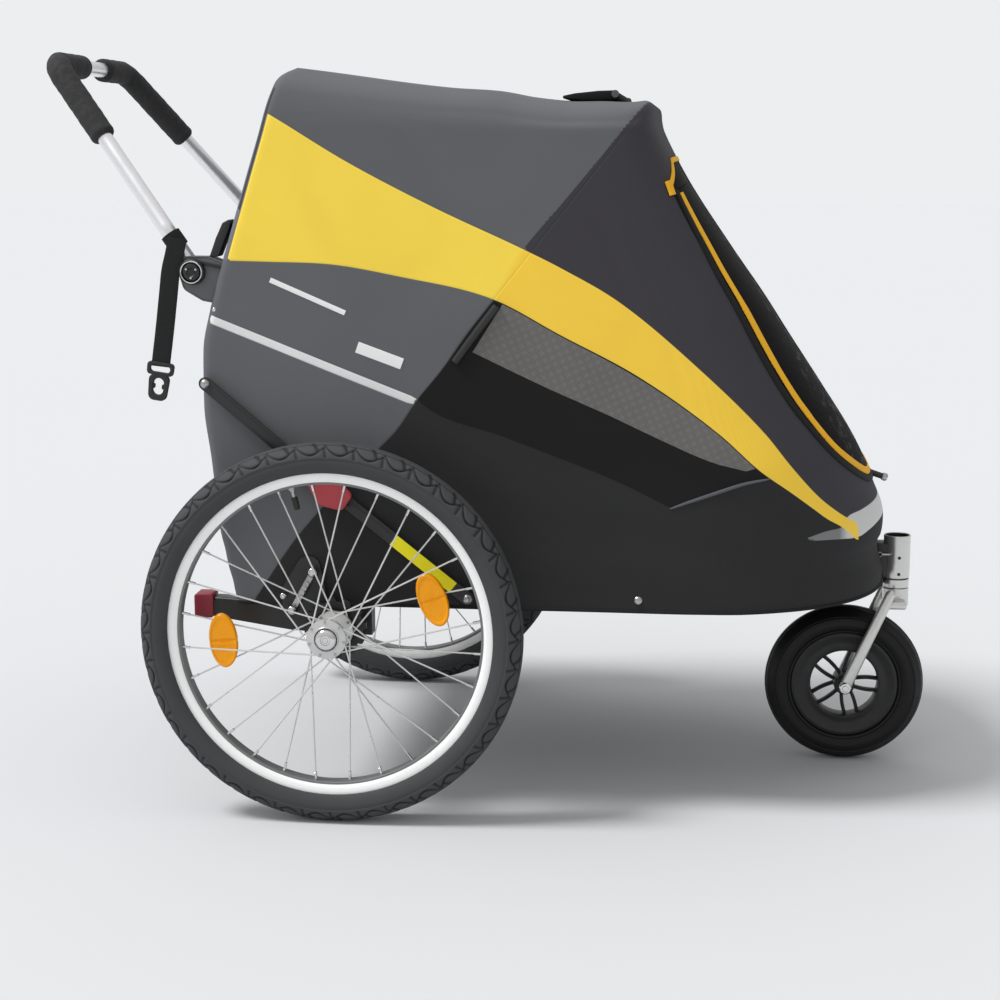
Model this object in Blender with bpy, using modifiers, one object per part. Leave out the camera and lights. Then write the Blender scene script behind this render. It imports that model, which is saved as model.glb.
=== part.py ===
"""Three-wheeled pet stroller with a folding frame, a fabric cabin and a swivelling front wheel.

Frame: +X to the front, +Y to the stroller's left, +Z up, metres. The origin lies on the floor,
under the middle of the whole object's box.
"""

import math

import bmesh
import bpy
from mathutils import Matrix, Vector

GAP = 0.0003

# Rear wheels: 20-inch spoked wheels on quick-release axles.
REAR_AXLE_X = -0.187
REAR_TYRE_RADIUS = 0.247
REAR_TYRE_SECTION = 0.0225
REAR_RIM_OUTER = 0.2125
REAR_RIM_INNER = 0.194
REAR_RIM_HALF_WIDTH = 0.012
WHEEL_STEPS = 32
REAR_WHEEL_Y = 0.340
REAR_AXLE_Z = REAR_TYRE_RADIUS
SPOKES_PER_FLANGE = 14
SPOKE_RADIUS = 0.0011
FLANGE_OFFSET = 0.0195
FLANGE_RADIUS = 0.0285
AXLE_PIN_RADIUS = 0.006
RELEASE_BUTTON_RADIUS = 0.0085

# Front caster.
CASTER_X = 0.484
CASTER_TYRE_RADIUS = 0.111
CASTER_RIM_RADIUS = 0.074
CASTER_HALF_WIDTH = 0.024
HEAD_X = 0.552
HEAD_TOP_Z = 0.3245
HEAD_BOTTOM_Z = 0.2505
HEAD_RADIUS = 0.0185
COLLAR_RADIUS = 0.0155
COLLAR_BOTTOM_Z = 0.229
STEM_RADIUS = 0.010
FORK_ARM_Y = 0.034
CASTER_BORE = 0.0056

# Base frame.
RAIL_Y = 0.2605
RAIL_WIDTH = 0.023
RAIL_HEIGHT = 0.028
RAIL_Z = 0.284
RAIL_REAR_X = -0.308
RAIL_FRONT_X = 0.250
BOW_TUBE_RADIUS = 0.0115
CROSS_TUBE_RADIUS = 0.011
BOW_INSET = 0.0165
ARM_INNER_Y = 0.250
ARM_OUTER_Y = 0.275
ARM_REAR_X = -0.355

# Folding upper frame. Both frames turn about pins at the rear of the rails.
TUBE_RADIUS = 0.011
FRAME_PIVOT = (-0.317, 0.314)
HOOP_PIVOT = (-0.265, 0.314)
HOOP_INNER_Y = 0.2349
HOOP_TOP = (0.190, 0.899)
FRAME_TOP = (-0.246, 0.934)
PIVOT_PLATE_Y = 0.2477
PIVOT_PLATE_THICKNESS = 0.003
PIN_RADIUS = 0.004
PIN_HOLE_RADIUS = 0.0043

# Folding brace between the rear frame and the rail.
BRACE_TOP = (-0.355, 0.559)
BRACE_MID = (-0.186, 0.417)
BRACE_BOTTOM = (-0.018, 0.284)
BRACE_UPPER_Y = 0.2888
BRACE_LOWER_Y = 0.2838
BRACE_THICKNESS = 0.004
BRACE_HALF_WIDTH = 0.0085

# Handle.
HANDLE_PIVOT = (-0.373, 0.700)
HANDLE_PIVOT_Y = 0.250
HANDLE_KNEE = (-0.410, 0.752)
HANDLE_KNEE_Y = 0.2485
HANDLE_CORNER = (-0.5815, 0.965)
HANDLE_CORNER_Y = 0.157
HANDLE_TUBE_RADIUS = 0.0105
GRIP_RADIUS = 0.0155
GRIP_START_SHARE = 0.55
GRIP_END_Y = 0.044
STRAP_ANCHOR = (-0.403, 0.737)
STRAP_Y = 0.2667
STRAP_FOOT = (-0.4215, 0.584)
STRAP_WIDTH = 0.025

# Fabric cabin.
CLOTH = 0.003
TUB_TOP_Z = 0.440
REAR_CORNER_RADIUS = 0.012
DOOR_HINGE = (0.2535, 0.812)
DOOR_FOOT = (0.503, 0.435)
# Half of the door's outline, from its hinge edge: distance across, and distance down the slope.
DOOR_EDGE = [(0.240, 0.0), (0.240, 0.180), (0.222, 0.320), (0.190, 0.398), (0.130, 0.436)]

SIDES = (("left", 1), ("right", -1))


# ---------------------------------------------------------------- tools


def clear_scene():
    for obj in list(bpy.data.objects):
        bpy.data.objects.remove(obj, do_unlink=True)


def new_collection(name):
    collection = bpy.data.collections.new(name)
    bpy.context.scene.collection.children.link(collection)
    return collection


def material(name, colour, roughness, metallic=0.0):
    mat = bpy.data.materials.new(name)
    mat.use_nodes = True
    shader = mat.node_tree.nodes["Principled BSDF"]
    shader.inputs["Base Color"].default_value = (*colour, 1.0)
    shader.inputs["Roughness"].default_value = roughness
    shader.inputs["Metallic"].default_value = metallic
    return mat


def finish_mesh(mesh):
    """Weld loose seams, point the faces out and shade the round faces smooth."""
    bm = bmesh.new()
    bm.from_mesh(mesh)
    bmesh.ops.remove_doubles(bm, verts=bm.verts, dist=0.00001)
    bmesh.ops.recalc_face_normals(bm, faces=bm.faces)
    bm.to_mesh(mesh)
    bm.free()
    mesh.shade_smooth()
    mesh.set_sharp_from_angle(angle=math.radians(35))
    return mesh


def place(name, mesh, mat, origin=(0, 0, 0), cutter=False):
    """Add a mesh, given in world coordinates, as an object whose origin is at origin."""
    mesh.transform(Matrix.Translation(-Vector(origin)))
    mesh.materials.clear()
    if mat:
        mesh.materials.append(mat)
    obj = bpy.data.objects.new(name, mesh)
    obj.location = origin
    (cutters if cutter else parts).objects.link(obj)
    if cutter:
        obj.hide_render = True
        obj.display_type = "WIRE"
    return obj


def evaluated_mesh(obj, transform=None):
    """The object's evaluated mesh, welded and moved by transform; the object is removed."""
    bpy.context.view_layer.update()
    depsgraph = bpy.context.evaluated_depsgraph_get()
    mesh = bpy.data.meshes.new_from_object(obj.evaluated_get(depsgraph))
    mesh.transform(obj.matrix_world)
    if transform:
        mesh.transform(transform)
    bpy.data.objects.remove(obj, do_unlink=True)
    return finish_mesh(mesh)


def cut(obj, *tools):
    for tool in tools:
        add_boolean(obj, tool, "DIFFERENCE")


def join(obj, *tools):
    for tool in tools:
        add_boolean(obj, tool, "UNION")


def keep_inside(obj, tool):
    add_boolean(obj, tool, "INTERSECT")


def add_boolean(obj, tool, operation):
    boolean = obj.modifiers.new(operation.title(), "BOOLEAN")
    boolean.operation = operation
    boolean.solver = "EXACT"
    boolean.object = tool


def fillet(points, radius, steps, closed=False):
    """A path through points whose corners are arcs of the given radius."""
    points = [Vector(p).to_3d() for p in points]
    count = len(points)
    path = []
    for i, corner in enumerate(points):
        if not closed and i in (0, count - 1):
            path.append(corner)
            continue
        back = points[i - 1] - corner
        ahead = points[(i + 1) % count] - corner
        angle = back.angle(ahead)
        if angle > math.radians(179):
            path.append(corner)
            continue
        reach = min(radius / math.tan(angle / 2), 0.48 * back.length, 0.48 * ahead.length)
        arc_radius = reach * math.tan(angle / 2)
        middle = (back.normalized() + ahead.normalized()).normalized()
        centre = corner + middle * (arc_radius / math.sin(angle / 2))
        first = corner + back.normalized() * reach - centre
        last = corner + ahead.normalized() * reach - centre
        path += [centre + first.slerp(last, k / steps) * arc_radius for k in range(steps + 1)]
    return path


def tube_mesh(points, radius, resolution=1):
    """A round tube along points, closed at both ends."""
    curve = bpy.data.curves.new("tube_path", "CURVE")
    curve.dimensions = "3D"
    curve.bevel_depth = radius
    curve.bevel_resolution = resolution
    curve.use_fill_caps = True
    spline = curve.splines.new("POLY")
    spline.points.add(len(points) - 1)
    for knot, point in zip(spline.points, points):
        knot.co = (*point, 1.0)
    obj = bpy.data.objects.new("tube_path", curve)
    parts.objects.link(obj)
    return evaluated_mesh(obj)


def plate_mesh(outline, thickness, transform):
    """A flat plate: the outline in local XY, with its thickness centred along local Z."""
    curve = bpy.data.curves.new("outline", "CURVE")
    curve.dimensions = "2D"
    curve.fill_mode = "BOTH"
    curve.extrude = thickness / 2
    spline = curve.splines.new("POLY")
    spline.points.add(len(outline) - 1)
    for knot, point in zip(spline.points, outline):
        knot.co = (point[0], point[1], 0.0, 1.0)
    spline.use_cyclic_u = True
    obj = bpy.data.objects.new("outline", curve)
    parts.objects.link(obj)
    return evaluated_mesh(obj, transform)


def side_plate(outline, low_y, high_y):
    """A plate whose outline is given in world X and Z, between two heights along Y."""
    upright = Matrix.Translation((0, (low_y + high_y) / 2, 0)) @ Matrix.Rotation(math.pi / 2, 4, "X")
    return plate_mesh(outline, abs(high_y - low_y), upright)


def box_mesh(low, high):
    low, high = Vector(low), Vector(high)
    mesh = bpy.data.meshes.new("box")
    bm = bmesh.new()
    bmesh.ops.create_cube(bm, size=1.0)
    size = high - low
    bmesh.ops.transform(bm, matrix=Matrix.Diagonal((*size, 1.0)), verts=bm.verts)
    bmesh.ops.translate(bm, vec=(low + high) / 2, verts=bm.verts)
    bm.to_mesh(mesh)
    bm.free()
    return finish_mesh(mesh)


def rod_mesh(start, end, radius, sides=12):
    """A straight cylinder from start to end."""
    start, end = Vector(start), Vector(end)
    axis = end - start
    turn = axis.to_track_quat("Z", "Y").to_matrix().to_4x4()
    mesh = bpy.data.meshes.new("rod")
    bm = bmesh.new()
    bmesh.ops.create_cone(
        bm, cap_ends=True, segments=sides, radius1=radius, radius2=radius, depth=axis.length
    )
    bmesh.ops.transform(bm, matrix=Matrix.Translation((start + end) / 2) @ turn, verts=bm.verts)
    bm.to_mesh(mesh)
    bm.free()
    return finish_mesh(mesh)


def cross_rod(x, z, y_from, y_to, radius, sides=12):
    return rod_mesh((x, y_from, z), (x, y_to, z), radius, sides)


def turned_mesh(profile, steps, centre, outward=None, closed=False):
    """A turned shape: (radius, height) points, run down the outer side from top to bottom.

    outward is +1 or -1 for an axle along Y whose height points to that side, or None for
    an upright axis.
    """
    mesh = bpy.data.meshes.new("profile")
    vertices = [(radius, 0.0, height) for radius, height in profile]
    edges = [(i, i + 1) for i in range(len(profile) - 1)]
    if closed:
        edges.append((len(profile) - 1, 0))
    mesh.from_pydata(vertices, edges, [])
    obj = bpy.data.objects.new("profile", mesh)
    parts.objects.link(obj)
    screw = obj.modifiers.new("Screw", "SCREW")
    screw.axis = "Z"
    screw.steps = steps
    screw.render_steps = steps
    screw.use_merge_vertices = True
    screw.merge_threshold = 0.00001
    turn = Matrix.Identity(4)
    if outward:
        turn = Matrix.Rotation(-outward * math.pi / 2, 4, "X")
    return evaluated_mesh(obj, Matrix.Translation(centre) @ turn)


def merged_mesh(meshes):
    """Several solids that don't meet, as one mesh for a cutter or a union."""
    bm = bmesh.new()
    for mesh in meshes:
        bm.from_mesh(mesh)
    merged = bpy.data.meshes.new("merged")
    bm.to_mesh(merged)
    bm.free()
    return merged


def point_between(start, end, share):
    return Vector(start).lerp(Vector(end), share)


def capsule(start, end, radius, steps=6):
    """A strip's outline with a round end about each of two points."""
    start, end = Vector(start), Vector(end)
    heading = math.atan2(end.y - start.y, end.x - start.x)
    outline = []
    for centre, first in ((end, heading - math.pi / 2), (start, heading + math.pi / 2)):
        for k in range(steps + 1):
            angle = first + math.pi * k / steps
            outline.append((centre.x + radius * math.cos(angle), centre.y + radius * math.sin(angle)))
    return outline


# ---------------------------------------------------------------- base frame


def side_rails(side, sign):
    low = (RAIL_REAR_X, RAIL_Y - RAIL_WIDTH / 2, RAIL_Z - RAIL_HEIGHT / 2)
    high = (RAIL_FRONT_X, RAIL_Y + RAIL_WIDTH / 2, RAIL_Z + RAIL_HEIGHT / 2)
    mesh = box_mesh(low, high)
    mesh.transform(Matrix.Diagonal((1, sign, 1, 1)))
    place(f"side_rail_{side}", finish_mesh(mesh), black_metal)


def cross_tubes():
    reach = RAIL_Y - RAIL_WIDTH / 2 - GAP
    for name, x in (("rear_cross_tube", -0.300), ("middle_cross_tube", 0.060)):
        place(name, cross_rod(x, RAIL_Z, -reach, reach, CROSS_TUBE_RADIUS, 12), black_metal)


def front_bow():
    """The tube that carries the rails round the nose of the cabin, just inside its cloth."""
    ring = cabin_ring(CABIN_LEVELS[0], BOW_INSET)
    nose = [Vector((p.x, p.y, RAIL_Z)) for p in ring if p.x > RAIL_FRONT_X + 0.02]
    start = RAIL_FRONT_X + GAP
    left = [Vector((start, RAIL_Y, RAIL_Z)), Vector((start + 0.010, RAIL_Y, RAIL_Z))]
    right = [Vector((p.x, -p.y, p.z)) for p in reversed(left)]
    place("front_bow", tube_mesh(left + nose + right, BOW_TUBE_RADIUS), black_metal)


def floor_panel():
    outline = fillet(
        [(-0.288, -0.218), (0.330, -0.218), (0.470, -0.130), (0.470, 0.130), (0.330, 0.218), (-0.288, 0.218)],
        0.05,
        4,
        closed=True,
    )
    low = RAIL_Z + CROSS_TUBE_RADIUS + 2 * GAP
    place("floor_panel", plate_mesh(outline, 0.006, Matrix.Translation((0, 0, low + 0.003))), dark_fabric)


def axle_arms(side, sign):
    """The arm under the rail that holds the wheel's axle socket and the brake's plate."""
    outline = [
        (ARM_REAR_X, 0.2720),
        (ARM_REAR_X, 0.2500),
        (-0.250, 0.2340),
        (-0.145, 0.2300),
        (-0.145, 0.2697),
        (-0.323, 0.2697),
    ]
    arm = place(f"axle_arm_{side}", side_plate(outline, sign * ARM_INNER_Y, sign * ARM_OUTER_Y), black_metal)
    plate = [(-0.262, 0.240), (-0.205, 0.240), (-0.205, 0.292), (-0.214, 0.334), (-0.236, 0.334), (-0.262, 0.292)]
    brake_plate = place(
        "cut_brake_plate",
        side_plate(fillet(plate, 0.012, 3, closed=True), sign * 0.2777, sign * 0.2810),
        None,
        cutter=True,
    )
    spacer = place(
        "cut_spacer",
        side_plate([(-0.258, 0.244), (-0.210, 0.244), (-0.210, 0.2655), (-0.258, 0.2655)], sign * 0.270, sign * 0.279),
        None,
        cutter=True,
    )
    socket = place(
        "cut_socket",
        cross_rod(REAR_AXLE_X, REAR_AXLE_Z, sign * 0.256, sign * 0.3115, 0.0145, 16),
        None,
        cutter=True,
    )
    brake_pin = place(
        "cut_brake_pin", cross_rod(-0.232, 0.290, sign * 0.279, sign * 0.2890, 0.0038), None, cutter=True
    )
    bore = place(
        "cut_bore",
        cross_rod(REAR_AXLE_X, REAR_AXLE_Z, sign * 0.262, sign * 0.330, AXLE_PIN_RADIUS + 0.0006, 16),
        None,
        cutter=True,
    )
    join(arm, spacer, brake_plate, socket, brake_pin)
    cut(arm, bore)


def arm_end_caps(side, sign):
    outline = fillet([(-0.381, 0.2480), (-0.3555, 0.2480), (-0.3555, 0.2800), (-0.381, 0.2800)], 0.004, 2, True)
    place(f"arm_end_cap_{side}", side_plate(outline, sign * 0.2475, sign * 0.2775), red_plastic)


def fold_plates(side, sign):
    """The plate on the rail's inner face, with the pins of both folding frames."""
    inner = PIVOT_PLATE_Y - PIVOT_PLATE_THICKNESS / 2
    outer = PIVOT_PLATE_Y + PIVOT_PLATE_THICKNESS / 2
    outline = [(-0.3265, 0.2983), (-0.252, 0.2983), (-0.252, 0.322), (-0.262, 0.327), (-0.3265, 0.327)]
    plate = place(f"fold_plate_{side}", side_plate(outline, sign * inner, sign * outer), steel)
    frame_pin = cross_rod(*FRAME_PIVOT, sign * PIVOT_PLATE_Y, sign * (RAIL_Y + 0.009), PIN_RADIUS)
    hoop_pin = cross_rod(*HOOP_PIVOT, sign * PIVOT_PLATE_Y, sign * (HOOP_INNER_Y - TUBE_RADIUS), PIN_RADIUS)
    join(
        plate,
        place("cut_frame_pin", frame_pin, None, cutter=True),
        place("cut_hoop_pin", hoop_pin, None, cutter=True),
    )


def head_tube():
    """The caster's head tube, with the tongue that bolts it under the front bow."""
    profile = [
        (STEM_RADIUS + 0.0006, HEAD_TOP_Z),
        (HEAD_RADIUS, HEAD_TOP_Z),
        (HEAD_RADIUS, 0.266),
        (COLLAR_RADIUS + 0.0005, 0.264),
        (COLLAR_RADIUS + 0.0005, HEAD_BOTTOM_Z),
        (STEM_RADIUS + 0.0006, HEAD_BOTTOM_Z),
    ]
    head = place("head_tube", turned_mesh(profile, 20, (HEAD_X, 0, 0), closed=True), silver_metal)
    tongue = box_mesh((0.435, -0.024, 0.2520), (HEAD_X - 0.0132, 0.024, 0.2692))
    pad = box_mesh((0.500, -0.024, 0.2600), (0.520, 0.024, 0.2722))
    cross_hole = rod_mesh((HEAD_X, -0.03, 0.303), (HEAD_X, -0.005, 0.303), 0.003, 10)
    join(head, place("cut_tongue", tongue, None, cutter=True), place("cut_pad", pad, None, cutter=True))
    cut(head, place("cut_hole", cross_hole, None, cutter=True))


def brake_levers(side, sign):
    """A short lever with a steel ball at each end, on the brake plate's pin."""
    pivot = (-0.232, 0.290)
    top, foot = (-0.213, 0.319), (-0.250, 0.263)
    strip = side_plate(capsule(foot, top, 0.0045, 4), sign * 0.2815, sign * 0.2865)
    lever = place(f"brake_lever_{side}", strip, steel, origin=(pivot[0], sign * 0.284, pivot[1]))
    join(lever, place("cut_eye", cross_rod(*pivot, sign * 0.2815, sign * 0.2865, 0.009), None, cutter=True))
    for end in (top, foot):
        ball = turned_mesh(
            [(0.0065 * math.sin(math.pi * k / 5), 0.0065 * math.cos(math.pi * k / 5)) for k in range(6)],
            8,
            (end[0], sign * 0.2885, end[1]),
        )
        join(lever, place("cut_ball", ball, None, cutter=True))
    cut(lever, place("cut_pivot", cross_rod(*pivot, sign * 0.27, sign * 0.30, 0.0042), None, cutter=True))


# ---------------------------------------------------------------- folding frames


def rear_frame():
    """The U-shaped rear frame that carries the handle."""
    knees = [(-0.348, 0.559), (-0.337, 0.641), (-0.311, 0.713)]
    corners = [(FRAME_PIVOT[0] + 0.0012, RAIL_Y, FRAME_PIVOT[1] - 0.010)]
    corners += [(x, RAIL_Y, z) for x, z in knees]
    corners += [(FRAME_TOP[0], RAIL_Y, FRAME_TOP[1])]
    mirrored = [(x, -y, z) for x, y, z in reversed(corners)]
    path = fillet(corners + mirrored, 0.05, 4)
    mesh = tube_mesh(path, TUBE_RADIUS)
    frame = place("rear_frame", mesh, black_metal, origin=(FRAME_PIVOT[0], 0, FRAME_PIVOT[1]))
    for _side, sign in SIDES:
        pivot_hole = cross_rod(*FRAME_PIVOT, sign * 0.240, sign * 0.280, PIN_HOLE_RADIUS)
        bolt_hole = cross_rod(*BRACE_TOP, sign * 0.2635, sign * 0.285, PIN_HOLE_RADIUS)
        cut(
            frame,
            place("cut_pivot_hole", pivot_hole, None, cutter=True),
            place("cut_bolt_hole", bolt_hole, None, cutter=True),
        )


def roof_hoop():
    """The slanting hoop that holds the front of the roof; its feet step inwards to their pins."""
    low, high = Vector(HOOP_PIVOT), Vector(HOOP_TOP)
    along = (high - low).normalized()
    foot = low - along * 0.009
    straight = low + along * 0.055
    flared = low + along * 0.130
    corners = [
        (foot.x, HOOP_INNER_Y, foot.y),
        (straight.x, HOOP_INNER_Y, straight.y),
        (flared.x, RAIL_Y, flared.y),
        (high.x, RAIL_Y, high.y),
    ]
    mirrored = [(x, -y, z) for x, y, z in reversed(corners)]
    path = fillet(corners + mirrored, 0.06, 4)
    hoop = place("roof_hoop", tube_mesh(path, TUBE_RADIUS), black_metal, origin=(low.x, 0, low.y))
    for _side, sign in SIDES:
        hole = cross_rod(*HOOP_PIVOT, sign * 0.215, sign * 0.255, PIN_HOLE_RADIUS)
        cut(hoop, place("cut_hoop_hole", hole, None, cutter=True))


def brace_strut(name, start, end, y, sign, holes):
    """A flat strip between two joints, with the pin holes asked for."""
    half = BRACE_THICKNESS / 2
    outline = capsule(start, end, BRACE_HALF_WIDTH, 5)
    origin = (start[0], sign * y, start[1])
    strut = place(name, side_plate(outline, sign * (y - half), sign * (y + half)), black_metal, origin=origin)
    for x, z in holes:
        hole = cross_rod(x, z, sign * (y - 0.01), sign * (y + 0.01), PIN_HOLE_RADIUS)
        cut(strut, place("cut_strut_hole", hole, None, cutter=True))
    return strut


def braces(side, sign):
    upper = brace_strut(f"brace_upper_{side}", BRACE_TOP, BRACE_MID, BRACE_UPPER_Y, sign, [BRACE_TOP])
    # A washer's thickness of the pin, because the struts' own motions part slightly on the way.
    mid_pin = cross_rod(*BRACE_MID, sign * 0.2863, sign * 0.2893, PIN_RADIUS - 0.0008)
    lever_pivot = point_between(BRACE_TOP, BRACE_MID, 0.86)
    lever_pin = cross_rod(*lever_pivot, sign * 0.2890, sign * 0.2965, 0.003)
    join(
        upper,
        place("cut_mid_pin", mid_pin, None, cutter=True),
        place("cut_lever_pin", lever_pin, None, cutter=True),
    )
    brace_strut(f"brace_lower_{side}", BRACE_BOTTOM, BRACE_MID, BRACE_LOWER_Y, sign, [BRACE_BOTTOM])
    brace_bolt(f"brace_bolt_upper_{side}", BRACE_TOP, 0.2640, BRACE_UPPER_Y, sign)
    brace_bolt(f"brace_bolt_lower_{side}", BRACE_BOTTOM, 0.2750, BRACE_LOWER_Y, sign)
    lock_lever(side, sign, lever_pivot)


def brace_bolt(name, place_xz, foot_y, strut_y, sign):
    """A bolt with a domed head outside its strut."""
    head_y = strut_y + BRACE_THICKNESS / 2 + GAP
    profile = [
        (0.0, head_y + 0.0045),
        (0.0035, head_y + 0.0040),
        (0.0065, head_y + 0.0015),
        (0.0065, head_y),
        (PIN_RADIUS, head_y),
        (PIN_RADIUS, foot_y),
        (0.0, foot_y),
    ]
    x, z = place_xz
    place(name, turned_mesh(profile, 12, (x, 0, z), outward=sign), steel, origin=(x, 0, z))


def lock_lever(side, sign, pivot):
    """The red lever that locks the brace straight."""
    outline = fillet(
        [
            point_between(BRACE_TOP, BRACE_MID, 0.83) + Vector((0.004, 0.012)),
            point_between(BRACE_TOP, BRACE_MID, 0.83) - Vector((0.009, 0.010)),
            point_between(BRACE_MID, BRACE_BOTTOM, 0.14) - Vector((0.008, 0.012)),
            point_between(BRACE_MID, BRACE_BOTTOM, 0.14) + Vector((0.010, 0.006)),
        ],
        0.005,
        3,
        closed=True,
    )
    body = side_plate(outline, sign * 0.2912, sign * 0.2985)
    lever = place(f"lock_lever_{side}", body, red_plastic, origin=(pivot.x, sign * 0.295, pivot.y))
    cut(lever, place("cut_lever_hole", cross_rod(*pivot, sign * 0.28, sign * 0.31, 0.0034), None, cutter=True))


# ---------------------------------------------------------------- handle


def handle_path():
    corners = [
        (HANDLE_PIVOT[0] + 0.0052, HANDLE_PIVOT_Y, HANDLE_PIVOT[1] - 0.0075),
        (HANDLE_KNEE[0], HANDLE_KNEE_Y, HANDLE_KNEE[1]),
        (HANDLE_CORNER[0], HANDLE_CORNER_Y, HANDLE_CORNER[1]),
    ]
    mirrored = [(x, -y, z) for x, y, z in reversed(corners)]
    return fillet(corners + mirrored, 0.035, 4)


def handle():
    origin = (HANDLE_PIVOT[0], 0, HANDLE_PIVOT[1])
    tube = place("handle_tube", tube_mesh(handle_path(), HANDLE_TUBE_RADIUS), aluminium, origin=origin)
    for _side, sign in SIDES:
        hole = cross_rod(*HANDLE_PIVOT, sign * 0.23, sign * 0.27, PIN_HOLE_RADIUS)
        cut(tube, place("cut_handle_hole", hole, None, cutter=True))
    for side, sign in SIDES:
        grip(side, sign, origin)
    strap_loop()


def grip(side, sign, origin):
    """A foam sleeve round the handle's corner."""
    knee = Vector((HANDLE_KNEE[0], HANDLE_KNEE_Y, HANDLE_KNEE[1]))
    corner = Vector((HANDLE_CORNER[0], HANDLE_CORNER_Y, HANDLE_CORNER[1]))
    start = knee.lerp(corner, GRIP_START_SHARE)
    end = Vector((corner.x, GRIP_END_Y, corner.z))
    sleeve_path = fillet([start, corner, end], 0.035, 4)
    bore_path = [knee.lerp(corner, GRIP_START_SHARE - 0.1)] + sleeve_path[1:-1] + [end - Vector((0, 0.02, 0))]
    flip = Matrix.Diagonal((1, sign, 1, 1))
    sleeve = tube_mesh(sleeve_path, GRIP_RADIUS)
    bore = tube_mesh(bore_path, HANDLE_TUBE_RADIUS / math.cos(math.pi / 8) + 4 * GAP)
    sleeve.transform(flip)
    bore.transform(flip)
    piece = place(f"grip_{side}", finish_mesh(sleeve), foam, origin=origin)
    cut(piece, place("cut_grip_bore", finish_mesh(bore), None, cutter=True))


def handle_brackets(side, sign):
    """The bracket behind the rear frame, with a slot for the handle and a boss for its button."""
    x, z = HANDLE_PIVOT
    outline = fillet(
        [
            (x - 0.020, z + 0.006),
            (x - 0.012, z - 0.022),
            (x + 0.012, z - 0.036),
            (x + 0.036, z - 0.040),
            (x + 0.044, z + 0.010),
            (x + 0.020, z + 0.019),
            (x - 0.010, z + 0.019),
        ],
        0.012,
        3,
        closed=True,
    )
    body = side_plate(outline, sign * 0.2325, sign * 0.2670)
    bracket = place(f"handle_bracket_{side}", body, grey_plastic, origin=(x, sign * HANDLE_PIVOT_Y, z))
    boss = cross_rod(x, z, sign * 0.2650, sign * 0.2762, 0.0165, 20)
    recess = cross_rod(x, z, sign * 0.2702, sign * 0.2900, 0.0120, 20)
    slot = box_mesh((x - 0.06, 0.2375, z - 0.06), (x + 0.0225, 0.2613, z + 0.06))
    slot.transform(Matrix.Diagonal((1, sign, 1, 1)))
    pin = cross_rod(x, z, sign * 0.2350, sign * 0.2650, PIN_RADIUS)
    knee_clearance = tube_mesh(
        fillet(
            [
                (-0.348, sign * RAIL_Y, 0.559),
                (-0.337, sign * RAIL_Y, 0.641),
                (-0.311, sign * RAIL_Y, 0.713),
                (-0.283, sign * RAIL_Y, 0.814),
            ],
            0.05,
            2,
        ),
        TUBE_RADIUS / math.cos(math.pi / 8) + GAP,
    )
    join(bracket, place("cut_boss", boss, None, cutter=True))
    cut(
        bracket,
        place("cut_recess", recess, None, cutter=True),
        place("cut_slot", finish_mesh(slot), None, cutter=True),
        place("cut_frame_space", knee_clearance, None, cutter=True),
    )
    join(bracket, place("cut_pin", pin, None, cutter=True))
    button = [(0.0, 0.2790), (0.0085, 0.2785), (0.0112, 0.2765), (0.0112, 0.2735), (0.0, 0.2735)]
    place(
        f"handle_button_{side}",
        turned_mesh(button, 20, (x, 0, z), outward=sign),
        chrome,
        origin=(x, sign * 0.276, z),
    )


def strap_loop():
    """The band of webbing sewn round the handle tube, above the bracket."""
    low = Vector((HANDLE_PIVOT[0], -HANDLE_PIVOT_Y, HANDLE_PIVOT[1]))
    knee = Vector((HANDLE_KNEE[0], -HANDLE_KNEE_Y, HANDLE_KNEE[1]))
    heading = (knee - low).normalized()
    anchor = low + heading * (Vector(STRAP_ANCHOR) - Vector(HANDLE_PIVOT)).length
    half = heading * (0.40 * STRAP_WIDTH)
    band = rod_mesh(anchor - half, anchor + half, HANDLE_TUBE_RADIUS + 0.0030)
    bore = rod_mesh(anchor - 2 * half, anchor + 2 * half, HANDLE_TUBE_RADIUS + 0.0010)
    loop = place("strap_loop", band, webbing, origin=(HANDLE_PIVOT[0], 0, HANDLE_PIVOT[1]))
    cut(loop, place("cut_loop_bore", bore, None, cutter=True))


def wrist_strap():
    """The hanging webbing and its side-release buckle half."""
    down = (Vector(STRAP_FOOT) - Vector(STRAP_ANCHOR)).normalized()
    across = Vector((-down.y, down.x)) * (STRAP_WIDTH / 2)
    top = Vector(STRAP_ANCHOR) - down * 0.008
    foot = Vector(STRAP_FOOT) - down * 0.004
    outline = fillet([top + across, top - across, foot - across, foot + across], 0.004, 2, closed=True)
    origin = (STRAP_ANCHOR[0], -STRAP_Y, STRAP_ANCHOR[1])
    webbing_y = (-STRAP_Y + 0.001, -STRAP_Y - 0.001)
    place("wrist_strap", side_plate(outline, *webbing_y), webbing, origin=origin)
    start = Vector(STRAP_FOOT) - down * 0.0037
    end = Vector(STRAP_FOOT) + down * 0.050
    narrow = across * 0.62
    shell = [start + across * 1.25, start - across * 1.25, end - narrow, end + narrow]
    body = side_plate(fillet(shell, 0.006, 3, closed=True), -STRAP_Y + 0.0035, -STRAP_Y - 0.0035)
    buckle = place("strap_buckle", body, black_plastic, origin=origin)
    hole_start, hole_end = start + down * 0.022, start + down * 0.044
    hole = capsule(hole_start, hole_end, 0.0045)
    cut(buckle, place("cut_buckle_hole", side_plate(hole, -0.2, -0.3), None, cutter=True))


# ---------------------------------------------------------------- wheels


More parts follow.
